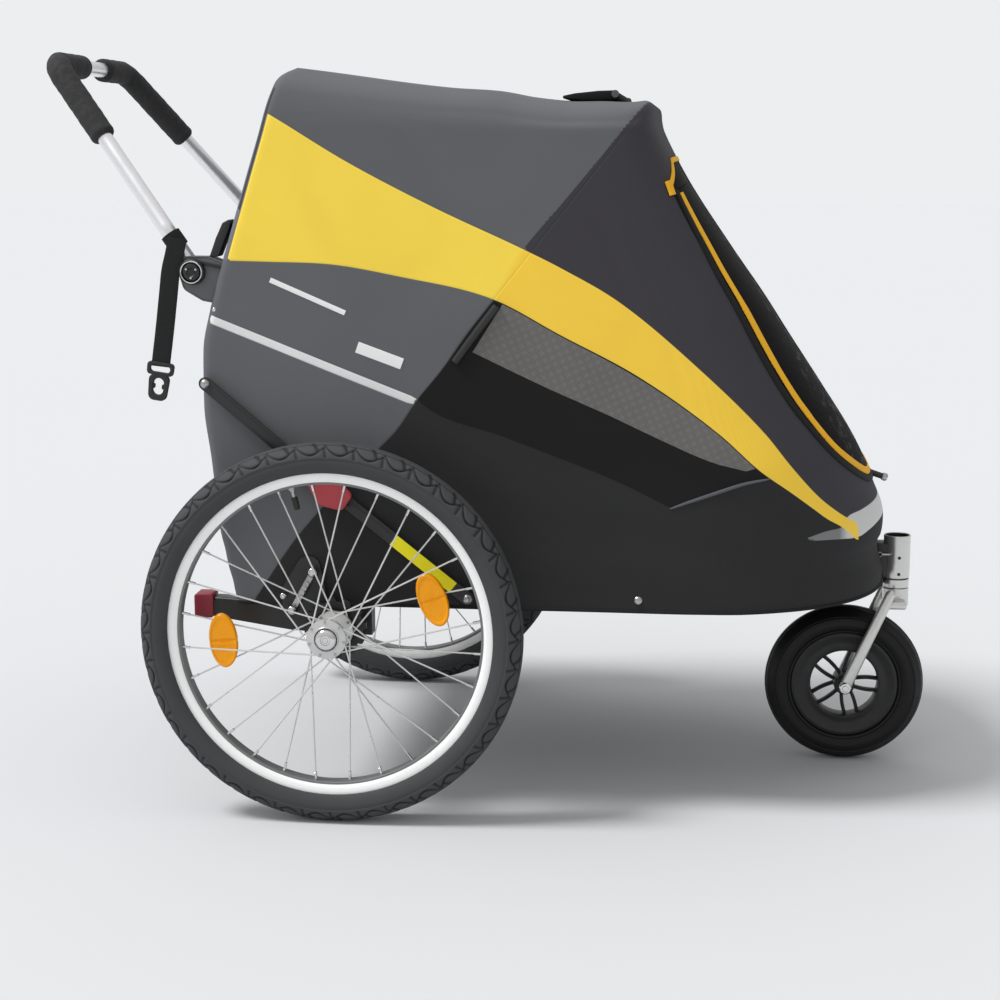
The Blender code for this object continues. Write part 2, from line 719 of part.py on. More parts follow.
def rear_wheel(side, sign):
    centre = Vector((REAR_AXLE_X, sign * REAR_WHEEL_Y, REAR_AXLE_Z))
    middle = REAR_TYRE_RADIUS - REAR_TYRE_SECTION
    limit = math.acos((REAR_RIM_OUTER + GAP - middle) / REAR_TYRE_SECTION)
    steps = 8
    angles = [limit - 2 * limit * k / steps for k in range(steps + 1)]
    tyre = [(middle + REAR_TYRE_SECTION * math.cos(a), REAR_TYRE_SECTION * math.sin(a)) for a in angles]
    mesh = turned_mesh(tyre, WHEEL_STEPS, centre, sign, closed=True)
    place(f"rear_tyre_{side}", mesh, tyre_rubber, origin=centre)
    bead = REAR_RIM_HALF_WIDTH
    rim = [
        (REAR_RIM_OUTER, bead),
        (REAR_RIM_OUTER, -bead),
        (REAR_RIM_INNER + 0.005, -bead),
        (REAR_RIM_INNER, -0.5 * bead),
        (REAR_RIM_INNER, 0.5 * bead),
        (REAR_RIM_INNER + 0.005, bead),
    ]
    mesh = turned_mesh(rim, WHEEL_STEPS, centre, sign, closed=True)
    place(f"rear_rim_{side}", mesh, aluminium, origin=centre)
    spoked_hub(side, sign, centre)
    for number, angle in ((1, math.radians(185)), (2, math.radians(20))):
        spoke_reflector(f"spoke_reflector_{side}_{number}", sign, centre, angle)
    button = [(0.0, 0.0525), (0.0060, 0.0520), (RELEASE_BUTTON_RADIUS, 0.0500), (RELEASE_BUTTON_RADIUS, 0.0440)]
    button.append((0.0, 0.0440))
    place(f"release_button_{side}", turned_mesh(button, 16, centre, sign), chrome, origin=centre)


def spoked_hub(side, sign, centre):
    """The hub with its quick-release pin, and the laced spokes that end at the rim."""
    button_hole = RELEASE_BUTTON_RADIUS + 0.0005
    profile = [
        (button_hole, 0.0465),
        (0.0125, 0.0465),
        (0.0150, 0.0430),
        (0.0190, 0.0260),
        (FLANGE_RADIUS, 0.0230),
        (FLANGE_RADIUS, 0.0160),
        (0.0120, 0.0120),
        (0.0120, -0.0120),
        (FLANGE_RADIUS, -0.0160),
        (FLANGE_RADIUS, -0.0230),
        (0.0150, -0.0275),
        (AXLE_PIN_RADIUS, -0.0275),
        (AXLE_PIN_RADIUS, -0.0720),
        (0.0, -0.0740),
        (0.0, 0.0405),
        (button_hole, 0.0405),
    ]
    hub = place(f"spoked_hub_{side}", turned_mesh(profile, 16, centre, sign, closed=True), aluminium, origin=centre)
    join(hub, place("cut_spokes", merged_mesh(spoke_meshes(sign, centre)), None, cutter=True))


def spoke_meshes(sign, centre):
    """Two flanges of spokes; on each, every second spoke leans the other way."""
    spokes = []
    pitch = 2 * math.pi / SPOKES_PER_FLANGE
    for flange in (1, -1):
        for index in range(SPOKES_PER_FLANGE):
            lean = 1 if index % 2 else -1
            rim_angle = pitch * (index + (0.5 if flange > 0 else 0.0))
            hub_angle = rim_angle + lean * math.radians(62)
            hub_y = flange * FLANGE_OFFSET + lean * 0.0018
            inner = radial_point(centre, FLANGE_RADIUS - 0.003, hub_angle, sign * hub_y)
            outer = radial_point(centre, REAR_RIM_INNER - 0.0012, rim_angle, sign * flange * 0.0025)
            spokes.append(rod_mesh(inner, outer, SPOKE_RADIUS, 4))
    return spokes


def radial_point(centre, radius, angle, y):
    return centre + Vector((radius * math.cos(angle), y, radius * math.sin(angle)))


def spoke_reflector(name, sign, centre, angle):
    """An oval reflector held between the two layers of spokes."""
    middle = radial_point(centre, 0.140, angle, 0)
    along = Vector((-math.sin(angle), math.cos(angle)))
    across = Vector((math.cos(angle), math.sin(angle)))
    outline = []
    for k in range(16):
        turn = 2 * math.pi * k / 16
        point = along * (0.034 * math.cos(turn)) + across * (0.018 * math.sin(turn))
        outline.append((middle.x + point.x, middle.z + point.y))
    mesh = side_plate(outline, middle.y - 0.0035, middle.y + 0.0035)
    place(name, mesh, amber_plastic, origin=centre)


def caster_wheel():
    centre = Vector((CASTER_X, 0, CASTER_TYRE_RADIUS))
    width = CASTER_HALF_WIDTH
    half_tyre = [
        (CASTER_RIM_RADIUS, 0.70 * width),
        (0.088, width),
        (0.100, 0.90 * width),
        (0.1085, 0.50 * width),
    ]
    tyre = half_tyre + [(CASTER_TYRE_RADIUS, 0.0)] + [(radius, -height) for radius, height in reversed(half_tyre)]
    place("caster_tyre", turned_mesh(tyre, WHEEL_STEPS, centre, 1, closed=True), tyre_rubber, origin=centre)
    half_rim = [
        (CASTER_BORE, 0.0235),
        (0.0150, 0.0235),
        (0.0500, 0.0070),
        (0.0530, 0.0170),
        (CASTER_RIM_RADIUS - GAP, 0.0170),
    ]
    rim = half_rim + [(radius, -height) for radius, height in reversed(half_rim)]
    wheel = place("caster_rim", turned_mesh(rim, WHEEL_STEPS, centre, 1, closed=True), black_plastic, origin=centre)
    windows = []
    for index in range(5):
        middle = math.radians(90 + 72 * index)
        windows.append(wheel_window(centre, middle, 0.024, 0.046, 0.10, 0.16))
        windows.append(wheel_window(centre, middle + math.radians(36), 0.021, 0.046, 0.12, 0.34))
    cut(wheel, place("cut_wheel_windows", merged_mesh(windows), None, cutter=True))


def wheel_window(centre, angle, inner, outer, inner_spread, outer_spread):
    """A prism through the caster's web, between two of its arms."""
    corners = []
    for radius, spread in ((inner, -inner_spread), (outer, -outer_spread), (outer, outer_spread), (inner, inner_spread)):
        corners.append(radial_point(centre, radius, angle + spread, 0).xz)
    return side_plate(corners, -0.03, 0.03)


def caster_fork():
    """Stem, collar, crown and two slanting arms, turning in the head tube."""
    origin = (HEAD_X, 0, 0)
    collar = [
        (0.0, HEAD_TOP_Z - 0.003),
        (STEM_RADIUS, HEAD_TOP_Z - 0.003),
        (STEM_RADIUS, HEAD_BOTTOM_Z - 0.0005),
        (COLLAR_RADIUS, HEAD_BOTTOM_Z - 0.0005),
        (COLLAR_RADIUS, COLLAR_BOTTOM_Z - 0.004),
        (0.0, COLLAR_BOTTOM_Z - 0.004),
    ]
    fork = place("caster_fork", turned_mesh(collar, 20, origin), silver_metal, origin=origin)
    crown = box_mesh((HEAD_X - 0.0165, -FORK_ARM_Y - 0.004, 0.2250), (HEAD_X + 0.0125, FORK_ARM_Y + 0.004, 0.2360))
    join(fork, place("cut_crown", crown, None, cutter=True))
    for sign in (1, -1):
        outline = capsule((CASTER_X, CASTER_TYRE_RADIUS), (HEAD_X - 0.003, 0.226), 0.0095, 5)
        arm = side_plate(outline, sign * (FORK_ARM_Y - 0.004), sign * (FORK_ARM_Y + 0.004))
        join(fork, place("cut_fork_arm", arm, None, cutter=True))
    hole = cross_rod(CASTER_X, CASTER_TYRE_RADIUS, -0.05, 0.05, 0.0053)
    cut(fork, place("cut_axle_hole", hole, None, cutter=True))
    profile = [(0.0, 0.0440), (0.0075, 0.0425), (0.0085, 0.0383), (0.0050, 0.0383)]
    profile += [(radius, -height) for radius, height in reversed(profile)]
    axle = turned_mesh(profile, 16, (CASTER_X, 0, CASTER_TYRE_RADIUS), 1)
    place("caster_axle_bolt", axle, steel, origin=(CASTER_X, 0, CASTER_TYRE_RADIUS))


# ---------------------------------------------------------------- fabric cabin

# Level by level: height at the rear and at the front, rear x, front x, where the nose's curve
# starts, half width, and how square the nose is.
CABIN_LEVELS = (
    (0.2700, 0.2700, -0.325, 0.530, 0.250, 0.277, 2.3),
    (0.3600, 0.3600, -0.345, 0.529, 0.250, 0.277, 2.3),
    (0.4050, 0.4050, -0.350, 0.514, 0.245, 0.277, 2.5),
    (0.4580, 0.4580, -0.355, 0.490, 0.230, 0.277, 3.0),
    (0.5300, 0.5300, -0.363, 0.444, 0.185, 0.277, 3.5),
    (0.6000, 0.6000, -0.362, 0.397, 0.150, 0.277, 4.0),
    (0.6500, 0.6500, -0.352, 0.364, 0.125, 0.277, 4.5),
    (0.7200, 0.7200, -0.327, 0.314, 0.110, 0.277, 5.0),
    (0.8100, 0.8100, -0.301, 0.253, 0.100, 0.277, 6.0),
    (0.8700, 0.8700, -0.285, 0.227, 0.100, 0.277, 7.0),
    (0.9250, 0.8930, -0.268, 0.217, 0.100, 0.272, 8.0),
    (0.9460, 0.9090, -0.258, 0.210, 0.100, 0.255, 8.0),
    (0.9570, 0.9170, -0.243, 0.200, 0.100, 0.225, 8.0),
)


def cabin_ring(level, inset):
    """One closed ring of the cabin's plan, from the middle of the rear round by the left side."""
    rear_z, front_z, rear_x, front_x, nose_x, half_width, squareness = level
    half_width -= inset
    rear_x += inset
    front_x -= inset
    corner = REAR_CORNER_RADIUS
    half = [(rear_x, 0.0), (rear_x, half_width - corner)]
    for k in (1, 2):
        turn = math.pi / 4 * k
        half.append((rear_x + corner * (1 - math.cos(turn)), half_width - corner * (1 - math.sin(turn))))
    for k in (1, 2):
        half.append((rear_x + corner + (nose_x - rear_x - corner) * k / 2, half_width))
    for k in range(1, 7):
        turn = math.pi / 2 * k / 7
        x = nose_x + (front_x - nose_x) * math.sin(turn) ** (2 / squareness)
        half.append((x, half_width * math.cos(turn) ** (2 / squareness)))
    half.append((front_x, 0.0))
    outline = half + [(x, -y) for x, y in reversed(half[1:-1])]
    slope = (front_z - rear_z) / (level[3] - level[2])
    return [Vector((x, y, rear_z + slope * (x - level[2]))) for x, y in outline]


def lofted_mesh(rings):
    """A closed solid through rings with the same number of points."""
    bm = bmesh.new()
    rows = [[bm.verts.new(point) for point in ring] for ring in rings]
    count = len(rows[0])
    for lower, upper in zip(rows, rows[1:]):
        for i in range(count):
            j = (i + 1) % count
            bm.faces.new((lower[i], lower[j], upper[j], upper[i]))
    bm.faces.new(rows[0])
    bm.faces.new(rows[-1])
    mesh = bpy.data.meshes.new("loft")
    bm.to_mesh(mesh)
    bm.free()
    return finish_mesh(mesh)


def cabin_outside():
    return lofted_mesh([cabin_ring(level, 0.0) for level in CABIN_LEVELS])


def cabin_inside():
    """The hollow, which runs out through the bottom."""
    drop = Vector((0, 0, CLOTH))
    rings = [cabin_ring(level, CLOTH) for level in CABIN_LEVELS]
    rings[-1] = [point - drop for point in rings[-1]]
    rings[-2] = [point - drop * 0.5 for point in rings[-2]]
    below = [point - Vector((0, 0, 0.02)) for point in rings[0]]
    return lofted_mesh([below] + rings)


def door_prism(shrink):
    """The door's opening, cut square to the slope of the cabin's front."""
    hinge = Vector((DOOR_HINGE[0], 0, DOOR_HINGE[1]))
    down = (Vector((DOOR_FOOT[0], 0, DOOR_FOOT[1])) - hinge).normalized()
    across = Vector((0, 1, 0))
    outward = across.cross(down)
    half = [(side, min(max(run, shrink), DOOR_EDGE[-1][1] - shrink)) for side, run in DOOR_EDGE]
    right = [(side - shrink, run) for side, run in half]
    left = [(shrink - side, run) for side, run in reversed(half)]
    outline = fillet(right + left, 0.020, 2, closed=True)
    turn = Matrix((across, down, outward)).transposed().to_4x4()
    return plate_mesh(outline, 0.11, Matrix.Translation(hinge) @ turn)


def window_prism(sign, shrink):
    """The side window's opening, a long wedge under the cabin's coloured band."""
    corners = [
        (0.014, 0.660),
        (-0.014, 0.602),
        (0.150, 0.527),
        (0.276, 0.478),
        (0.340, 0.458),
        (0.314, 0.482),
        (0.257, 0.527),
        (0.200, 0.567),
        (0.143, 0.602),
        (0.086, 0.631),
    ]
    centre = sum((Vector(p) for p in corners), Vector((0, 0))) / len(corners)
    inset = [Vector(p) + (centre - Vector(p)).normalized() * shrink for p in corners]
    return side_plate(inset, sign * 0.20, sign * 0.30)


def cabin():
    outside = cabin_outside()
    inside = place("cut_inside", cabin_inside(), None, cutter=True)
    below = place("cut_below", box_mesh((-1, -1, 0.2), (1, 1, TUB_TOP_Z)), None, cutter=True)
    above = place("cut_above", box_mesh((-1, -1, TUB_TOP_Z - GAP), (1, 1, 1.1)), None, cutter=True)
    tub = place("cabin_tub", outside.copy(), dark_fabric)
    cut(tub, inside, above)
    canopy = place("canopy", outside.copy(), grey_fabric)
    cut(canopy, inside, below, place("cut_doorway", door_prism(0.0), None, cutter=True))
    for side, sign in SIDES:
        opening = place("cut_window", window_prism(sign, 0.0), None, cutter=True)
        cut(canopy, opening)
        window = place(f"side_window_{side}", outside.copy(), mesh_fabric)
        cut(window, inside)
        keep_inside(window, place("keep_window", window_prism(sign, 0.0006), None, cutter=True))
        x, z = HANDLE_PIVOT
        slot = box_mesh((x - 0.02, 0.2310, z - 0.043), (x + 0.052, 0.2900, z + 0.021))
        slot.transform(Matrix.Diagonal((1, sign, 1, 1)))
        upper_bolt = cross_rod(*BRACE_TOP, sign * 0.26, sign * 0.29, PIN_RADIUS + 0.001)
        lower_bolt = cross_rod(*BRACE_BOTTOM, sign * 0.26, sign * 0.29, PIN_RADIUS + 0.001)
        cut(
            canopy,
            place("cut_bracket_slot", finish_mesh(slot), None, cutter=True),
            place("cut_upper_bolt", upper_bolt, None, cutter=True),
        )
        cut(tub, place("cut_lower_bolt", lower_bolt, None, cutter=True))
    door = place("front_door", outside, mesh_fabric, origin=(DOOR_HINGE[0], 0, DOOR_HINGE[1]))
    cut(door, inside)
    keep_inside(door, place("keep_door", door_prism(0.0006), None, cutter=True))


# ---------------------------------------------------------------- assembly

clear_scene()
parts = new_collection("pet_stroller")
cutters = new_collection("cutters")

black_metal = material("black_metal", (0.020, 0.020, 0.022), 0.45, 0.4)
silver_metal = material("silver_metal", (0.45, 0.45, 0.44), 0.35, 0.9)
aluminium = material("aluminium", (0.75, 0.75, 0.75), 0.25, 1.0)
steel = material("steel", (0.55, 0.55, 0.55), 0.3, 1.0)
chrome = material("chrome", (0.8, 0.8, 0.8), 0.1, 1.0)
black_plastic = material("black_plastic", (0.015, 0.015, 0.016), 0.5)
grey_plastic = material("grey_plastic", (0.070, 0.070, 0.075), 0.55)
red_plastic = material("red_plastic", (0.32, 0.03, 0.04), 0.4)
amber_plastic = material("amber_plastic", (0.85, 0.30, 0.01), 0.15)
tyre_rubber = material("tyre_rubber", (0.030, 0.030, 0.031), 0.75)
foam = material("foam", (0.020, 0.020, 0.021), 0.9)
webbing = material("webbing", (0.022, 0.022, 0.024), 0.85)
grey_fabric = material("grey_fabric", (0.115, 0.118, 0.125), 0.8)
dark_fabric = material("dark_fabric", (0.018, 0.018, 0.018), 0.85)
mesh_fabric = material("mesh_fabric", (0.060, 0.060, 0.058), 0.8)

for side_name, side_sign in SIDES:
    side_rails(side_name, side_sign)
    axle_arms(side_name, side_sign)
    arm_end_caps(side_name, side_sign)
    fold_plates(side_name, side_sign)
    brake_levers(side_name, side_sign)
    braces(side_name, side_sign)
    handle_brackets(side_name, side_sign)
    rear_wheel(side_name, side_sign)
cross_tubes()
front_bow()
floor_panel()
head_tube()
rear_frame()
roof_hoop()
handle()
wrist_strap()
caster_wheel()
caster_fork()
cabin()
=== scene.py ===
"""Looks of the pet stroller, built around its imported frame.

Row frame in metres: +X to the front, +Y to the stroller's left, +Z up, origin on the floor.
"""

import math

import bmesh
import bpy
import numpy as np
from mathutils import Matrix, Vector
from mathutils.bvhtree import BVHTree


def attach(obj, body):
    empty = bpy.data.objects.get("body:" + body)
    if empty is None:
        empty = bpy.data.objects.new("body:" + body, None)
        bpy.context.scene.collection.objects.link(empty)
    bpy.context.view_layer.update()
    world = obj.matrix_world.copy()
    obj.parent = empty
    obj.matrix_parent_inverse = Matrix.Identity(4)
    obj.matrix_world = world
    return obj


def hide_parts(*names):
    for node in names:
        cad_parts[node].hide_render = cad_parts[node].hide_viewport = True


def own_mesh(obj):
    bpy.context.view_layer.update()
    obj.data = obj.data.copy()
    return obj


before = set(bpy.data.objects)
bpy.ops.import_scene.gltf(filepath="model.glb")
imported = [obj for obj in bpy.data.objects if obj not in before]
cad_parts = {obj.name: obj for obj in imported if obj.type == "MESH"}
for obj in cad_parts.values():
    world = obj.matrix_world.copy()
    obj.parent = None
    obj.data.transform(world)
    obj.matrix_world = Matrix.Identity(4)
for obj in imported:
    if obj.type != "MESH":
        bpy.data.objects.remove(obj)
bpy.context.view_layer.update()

SIDES = (("left", 1), ("right", -1))
TAU = 2 * math.pi

# Places that the CAD model gives.
AXLE = Vector((-0.187, 0.340, 0.247))
CASTER_AXLE = Vector((0.484, 0.0, 0.111))
HEAD_X = 0.552
RAIL_Y = 0.2605
FRAME_PIVOT = (-0.317, 0.314)
HOOP_PIVOT = (-0.265, 0.314)
HOOP_TOP = (0.190, 0.899)
BRACE_TOP = Vector((-0.355, 0.559))
BRACE_MID = Vector((-0.186, 0.417))
BRACE_BOTTOM = Vector((-0.018, 0.284))
HANDLE_PIVOT = Vector((-0.373, 0.250, 0.700))
HANDLE_KNEE = Vector((-0.410, 0.2485, 0.752))
HANDLE_CORNER = Vector((-0.5815, 0.157, 0.965))
STRAP_ANCHOR = Vector((-0.403, 0.737))
STRAP_FOOT = Vector((-0.4178, 0.580))
STRAP_Y = -0.2667
DOOR_HINGE = Vector((0.2535, 0.0, 0.812))
DOOR_FOOT = Vector((0.503, 0.0, 0.435))
# Half of the door's edge, and of the fixed mesh above its hinge: distance across, and down the slope.
DOOR_EDGE = ((0.2393, 0.0), (0.2407, 0.063), (0.2410, 0.140), (0.2372, 0.220), (0.2237, 0.3195), (0.1896, 0.403),
             (0.1075, 0.456), (0.0, 0.468))
HEADER_EDGE = ((0.2554, -0.012), (0.2067, -0.037))

# The cabin's levels: z at the rear and at the front, rear x, front x, where the nose's curve
# starts, half width, and how square the nose is.
LEVELS = np.array((
    (0.2700, 0.2700, -0.325, 0.530, 0.250, 0.277, 2.3),
    (0.2830, 0.2830, -0.328, 0.530, 0.250, 0.277, 2.3),
    (0.2990, 0.2990, -0.331, 0.5265, 0.250, 0.277, 2.3),
    (0.3130, 0.3130, -0.335, 0.5225, 0.250, 0.277, 2.3),
    (0.3270, 0.3270, -0.338, 0.5225, 0.250, 0.277, 2.3),
    (0.3390, 0.3390, -0.340, 0.5275, 0.250, 0.277, 2.3),
    (0.3600, 0.3600, -0.345, 0.529, 0.250, 0.277, 2.3),
    (0.4050, 0.4050, -0.350, 0.514, 0.245, 0.277, 2.5),
    (0.4580, 0.4580, -0.355, 0.490, 0.230, 0.277, 3.0),
    (0.5300, 0.5300, -0.363, 0.444, 0.185, 0.277, 3.5),
    (0.6000, 0.6000, -0.362, 0.397, 0.150, 0.277, 4.0),
    (0.6500, 0.6500, -0.352, 0.364, 0.125, 0.277, 4.5),
    (0.7200, 0.7200, -0.332, 0.314, 0.110, 0.277, 5.0),
    (0.8100, 0.8100, -0.304, 0.253, 0.100, 0.277, 6.0),
    (0.8700, 0.8700, -0.285, 0.220, 0.100, 0.277, 7.0),
    (0.9250, 0.8930, -0.268, 0.212, 0.100, 0.272, 8.0),
    (0.9460, 0.9090, -0.258, 0.210, 0.100, 0.255, 8.0),
    (0.9570, 0.9170, -0.243, 0.200, 0.100, 0.225, 8.0),
))
REAR_CORNER = 0.012
CLOTH = 0.0022
# How far the roof sags between its hoops, as (x, drop).
ROOF_SAG = ((-0.25, 0.0), (-0.155, 0.0064), (-0.055, 0.0094), (0.0, 0.0080), (0.049, 0.0120), (0.093, 0.0130),
            (0.145, 0.0089), (0.190, 0.0046), (0.203, 0.0))

# Lines on the cabin's side, as (x, z).
BAND_TOP = ((-0.360, 0.948), (-0.269, 0.898), (-0.172, 0.840), (-0.061, 0.783), (0.053, 0.731), (0.099, 0.7085),
            (0.174, 0.6655), (0.2745, 0.5824), (0.3587, 0.4998), (0.390, 0.4607), (0.4303, 0.4144), (0.4572, 0.3907),
            (0.4722, 0.3793), (0.4834, 0.3698), (0.4847, 0.3595))
BAND_FOOT = ((-0.380, 0.716), (-0.274, 0.714), (-0.190, 0.711), (-0.107, 0.697), (0.014, 0.669), (0.099, 0.625),
             (0.200, 0.572), (0.301, 0.5007), (0.352, 0.4547), (0.391, 0.426), (0.4242, 0.3994), (0.4397, 0.3865),
             (0.4636, 0.3699), (0.4793, 0.3537))
HOOP_SEAM = ((0.0156, 0.668), (0.052, 0.7305), (0.098, 0.785), (0.147, 0.8436), (0.195, 0.902))
HOOP_SLEEVE = ((0.0194, 0.6605), (-0.008, 0.625), (-0.0343, 0.5891))
GREY_EDGE = ((0.0131, 0.6654), (-0.015, 0.6299), (-0.0535, 0.5762), (-0.083, 0.5401), (-0.112, 0.4987), (-0.131, 0.479),
             (-0.214, 0.392), (-0.245, 0.355), (-0.302, 0.271))
WINDOW_FOOT = ((-0.0125, 0.602), (0.074, 0.5614), (0.150, 0.528), (0.2766, 0.4714), (0.327, 0.4563), (0.352, 0.450))
WINDOW_LEFT = 0.0257
DARK_FOOT = ((-0.077, 0.5351), (-0.059, 0.5225), (0.0206, 0.4967), (0.091, 0.471), (0.176, 0.4376), (0.240, 0.4067))
PIPING = ((0.240, 0.4054), (0.265, 0.4149), (0.3025, 0.4281), (0.334, 0.4383), (0.365, 0.4441))
STRIPE = ((-0.349, 0.6405), (-0.215, 0.588), (-0.082, 0.5365))
NOSE_TOP = ((0.4063, 0.3612), (0.4402, 0.3696), (0.4606, 0.3712), (0.4679, 0.3826), (0.488, 0.3878), (0.505, 0.3906),
            (0.530, 0.3930))
NOSE_FOOT = ((0.4064, 0.3598), (0.4405, 0.3581), (0.4641, 0.3556), (0.4793, 0.3537), (0.4855, 0.3536), (0.5015, 0.3584),
             (0.5157, 0.3633), (0.530, 0.3670))
# Plain white bars printed on the side, as (start, end, width).
WHITE_BARS = (((-0.2707, 0.6909), (-0.1745, 0.6499), 0.0065), ((-0.1596, 0.6069), (-0.102, 0.5859), 0.0145))


# ---------------------------------------------------------------- curves and meshes


def smooth(x, points):
    """A curve through points that doesn't overshoot, straight beyond its ends."""
    xs, ys = (np.array(column, float) for column in zip(*points))
    step = np.diff(xs)
    slope = np.diff(ys) / step
    tangent = np.concatenate(([slope[0]], (slope[:-1] + slope[1:]) / 2, [slope[-1]]))
    tangent[1:-1][slope[:-1] * slope[1:] <= 0] = 0
    for part, limit in ((tangent[:-1], slope), (tangent[1:], slope)):
        np.clip(part, -3 * np.abs(limit), 3 * np.abs(limit), out=part)
    inside = np.clip(x, xs[0], xs[-1])
    i = np.clip(np.searchsorted(xs, inside, side="right") - 1, 0, len(xs) - 2)
    t = (inside - xs[i]) / step[i]
    value = (
        ys[i] * (1 + 2 * t) * (1 - t) ** 2
        + ys[i + 1] * t * t * (3 - 2 * t)
        + step[i] * (tangent[i] * t * (1 - t) ** 2 - tangent[i + 1] * t * t * (1 - t))
    )
    end = np.where(x < xs[0], tangent[0], tangent[-1])
    return value + (x - inside) * end


def spaced(points, count):
    """count points evenly spaced along a smooth curve through points."""
    points = [np.array(p, float) for p in points]
    fine = []
    for i in range(len(points) - 1):
        before, a = points[max(i - 1, 0)], points[i]
        b, after = points[i + 1], points[min(i + 2, len(points) - 1)]
        for t in np.linspace(0, 1, 16, endpoint=False):
            fine.append(
                0.5 * (2 * a + (b - before) * t + (2 * before - 5 * a + 4 * b - after) * t ** 2
                       + (3 * a - before - 3 * b + after) * t ** 3)
            )
    fine = np.array(fine + [points[-1]])
    run = np.concatenate(([0], np.cumsum(np.linalg.norm(np.diff(fine, axis=0), axis=1))))
    at = np.linspace(0, run[-1], count)
    return np.stack([np.interp(at, run, fine[:, k]) for k in range(fine.shape[1])], axis=1)


def fillet(points, radius, steps, closed=False):
    """Round the inner corners of a polyline."""
    points = [Vector(p) for p in points]
    result = []
    for i, here in enumerate(points):
        if not closed and i in (0, len(points) - 1):
            result.append(here)
            continue
        before, after = points[i - 1], points[(i + 1) % len(points)]
        back, ahead = (before - here), (after - here)
        reach = min(back.length, ahead.length) * 0.49
        back.normalize()
        ahead.normalize()
        half = math.acos(max(-1, min(1, back.dot(ahead)))) / 2
        if half > math.pi / 2 - 0.01:
            result.append(here)
            continue
        setback = min(radius / math.tan(half), reach)
        arc = setback * math.tan(half)
        centre = here + (back + ahead).normalized() * (arc / math.sin(half))
        start, end = here + back * setback - centre, here + ahead * setback - centre
        for k in range(steps + 1):
            t = k / steps
            angle = start.angle(end)
            mix = (start * math.sin((1 - t) * angle) + end * math.sin(t * angle)) / math.sin(angle)
            result.append(centre + mix)
    return result


def mesh_object(name, points, faces, mat, is_smooth=True, sharp=40):
    mesh = bpy.data.meshes.new(name)
    mesh.from_pydata([tuple(map(float, p)) for p in points], [], [tuple(map(int, f)) for f in faces])
    mesh.validate()
    bm = bmesh.new()
    bm.from_mesh(mesh)
    bmesh.ops.remove_doubles(bm, verts=bm.verts, dist=1e-6)
    bmesh.ops.recalc_face_normals(bm, faces=bm.faces)
    bm.to_mesh(mesh)
    bm.free()
    if is_smooth:
        mesh.shade_smooth()
        mesh.set_sharp_from_angle(angle=math.radians(sharp))
    obj = bpy.data.objects.new(name, mesh)
    bpy.context.scene.collection.objects.link(obj)
    if mat:
        mesh.materials.append(mat)
    return obj


def grid_faces(rows, columns, wrap_rows=False, wrap_columns=False):
    faces = []
    for i in range(rows if wrap_rows else rows - 1):
        for j in range(columns if wrap_columns else columns - 1):
            k, n = (i + 1) % rows, (j + 1) % columns
            faces.append((i * columns + j, i * columns + n, k * columns + n, k * columns + j))
    return faces


def frames_along(path, closed=False):
    """A direction and two cross directions at every point, turned as little as possible."""
    path = [Vector(p) for p in path]
    count = len(path)
    tangents = []
    for i in range(count):
        before = path[i - 1] if closed or i else path[i]
        after = path[(i + 1) % count] if closed or i < count - 1 else path[i]
        tangents.append((after - before).normalized())
    start = Vector((0, 0, 1)) if abs(tangents[0].z) < 0.9 else Vector((1, 0, 0))
    side = tangents[0].cross(start).normalized()
    sides = []
    for tangent in tangents:
        side = (side - tangent * side.dot(tangent)).normalized()
        sides.append(side.copy())
    return path, tangents, sides


def tube(name, path, radius, mat, sides=20, closed=False, flat=1.0, caps=True):
    """A round tube along a path; radius may be one number or one for each point."""
    path, tangents, crosses = frames_along(path, closed)
    radii = radius if hasattr(radius, "__len__") else [radius] * len(path)
    points = []
    for point, tangent, side, r in zip(path, tangents, crosses, radii):
        up = tangent.cross(side)
        for k in range(sides):
            turn = TAU * k / sides
            points.append(point + side * (r * math.cos(turn)) + up * (r * flat * math.sin(turn)))
    faces = grid_faces(len(path), sides, closed, True)
    if not closed and caps:
        faces.append(tuple(range(sides)))
        faces.append(tuple((len(path) - 1) * sides + k for k in range(sides)))
    return mesh_object(name, points, faces, mat)


def ribbon(name, path, normals, width, thickness, mat, closed=False):
    """A flat strip with soft edges that lies along a path, its face turned to the normals."""
    path, tangents, _ = frames_along(path, closed)
    widths = width if hasattr(width, "__len__") else [width] * len(path)
    shape = ((-0.5, 0), (-0.5, 0.55), (-0.42, 0.9), (-0.25, 1.0), (0.25, 1.0), (0.42, 0.9), (0.5, 0.55), (0.5, 0))
    points = []
    for point, tangent, normal, w in zip(path, tangents, normals, widths):
        normal = Vector(normal)
        across = tangent.cross(normal).normalized()
        out = across.cross(tangent).normalized()
        for a, b in shape:
            points.append(point + across * (a * w) + out * (b * thickness))
    count = len(shape)
    faces = grid_faces(len(path), count, closed, True)
    if not closed:
        faces.append(tuple(range(count)))
        faces.append(tuple((len(path) - 1) * count + k for k in range(count)))
    return mesh_object(name, points, faces, mat, sharp=60)


def turned(name, profile, centre, mat, steps=96, axis="y", sign=1, closed=False, sharp=30):
    """A profile of (radius, height) turned about an axis through centre."""
    points = []
    for k in range(steps):
        c, s = math.cos(TAU * k / steps), math.sin(TAU * k / steps)
        for radius, height in profile:
            r, h = max(radius, 0.0), sign * height
            local = Vector((r * c, h, r * s)) if axis == "y" else Vector((r * c, r * s, h))
            points.append(Vector(centre) + local)
    rows = len(profile)
    faces = grid_faces(steps, rows, True, closed)
    return mesh_object(name, points, faces, mat, sharp=sharp)


def add_modifier(obj, kind, **settings):
    modifier = obj.modifiers.new(kind.title(), kind)
    for key, value in settings.items():
        setattr(modifier, key, value)
    return modifier


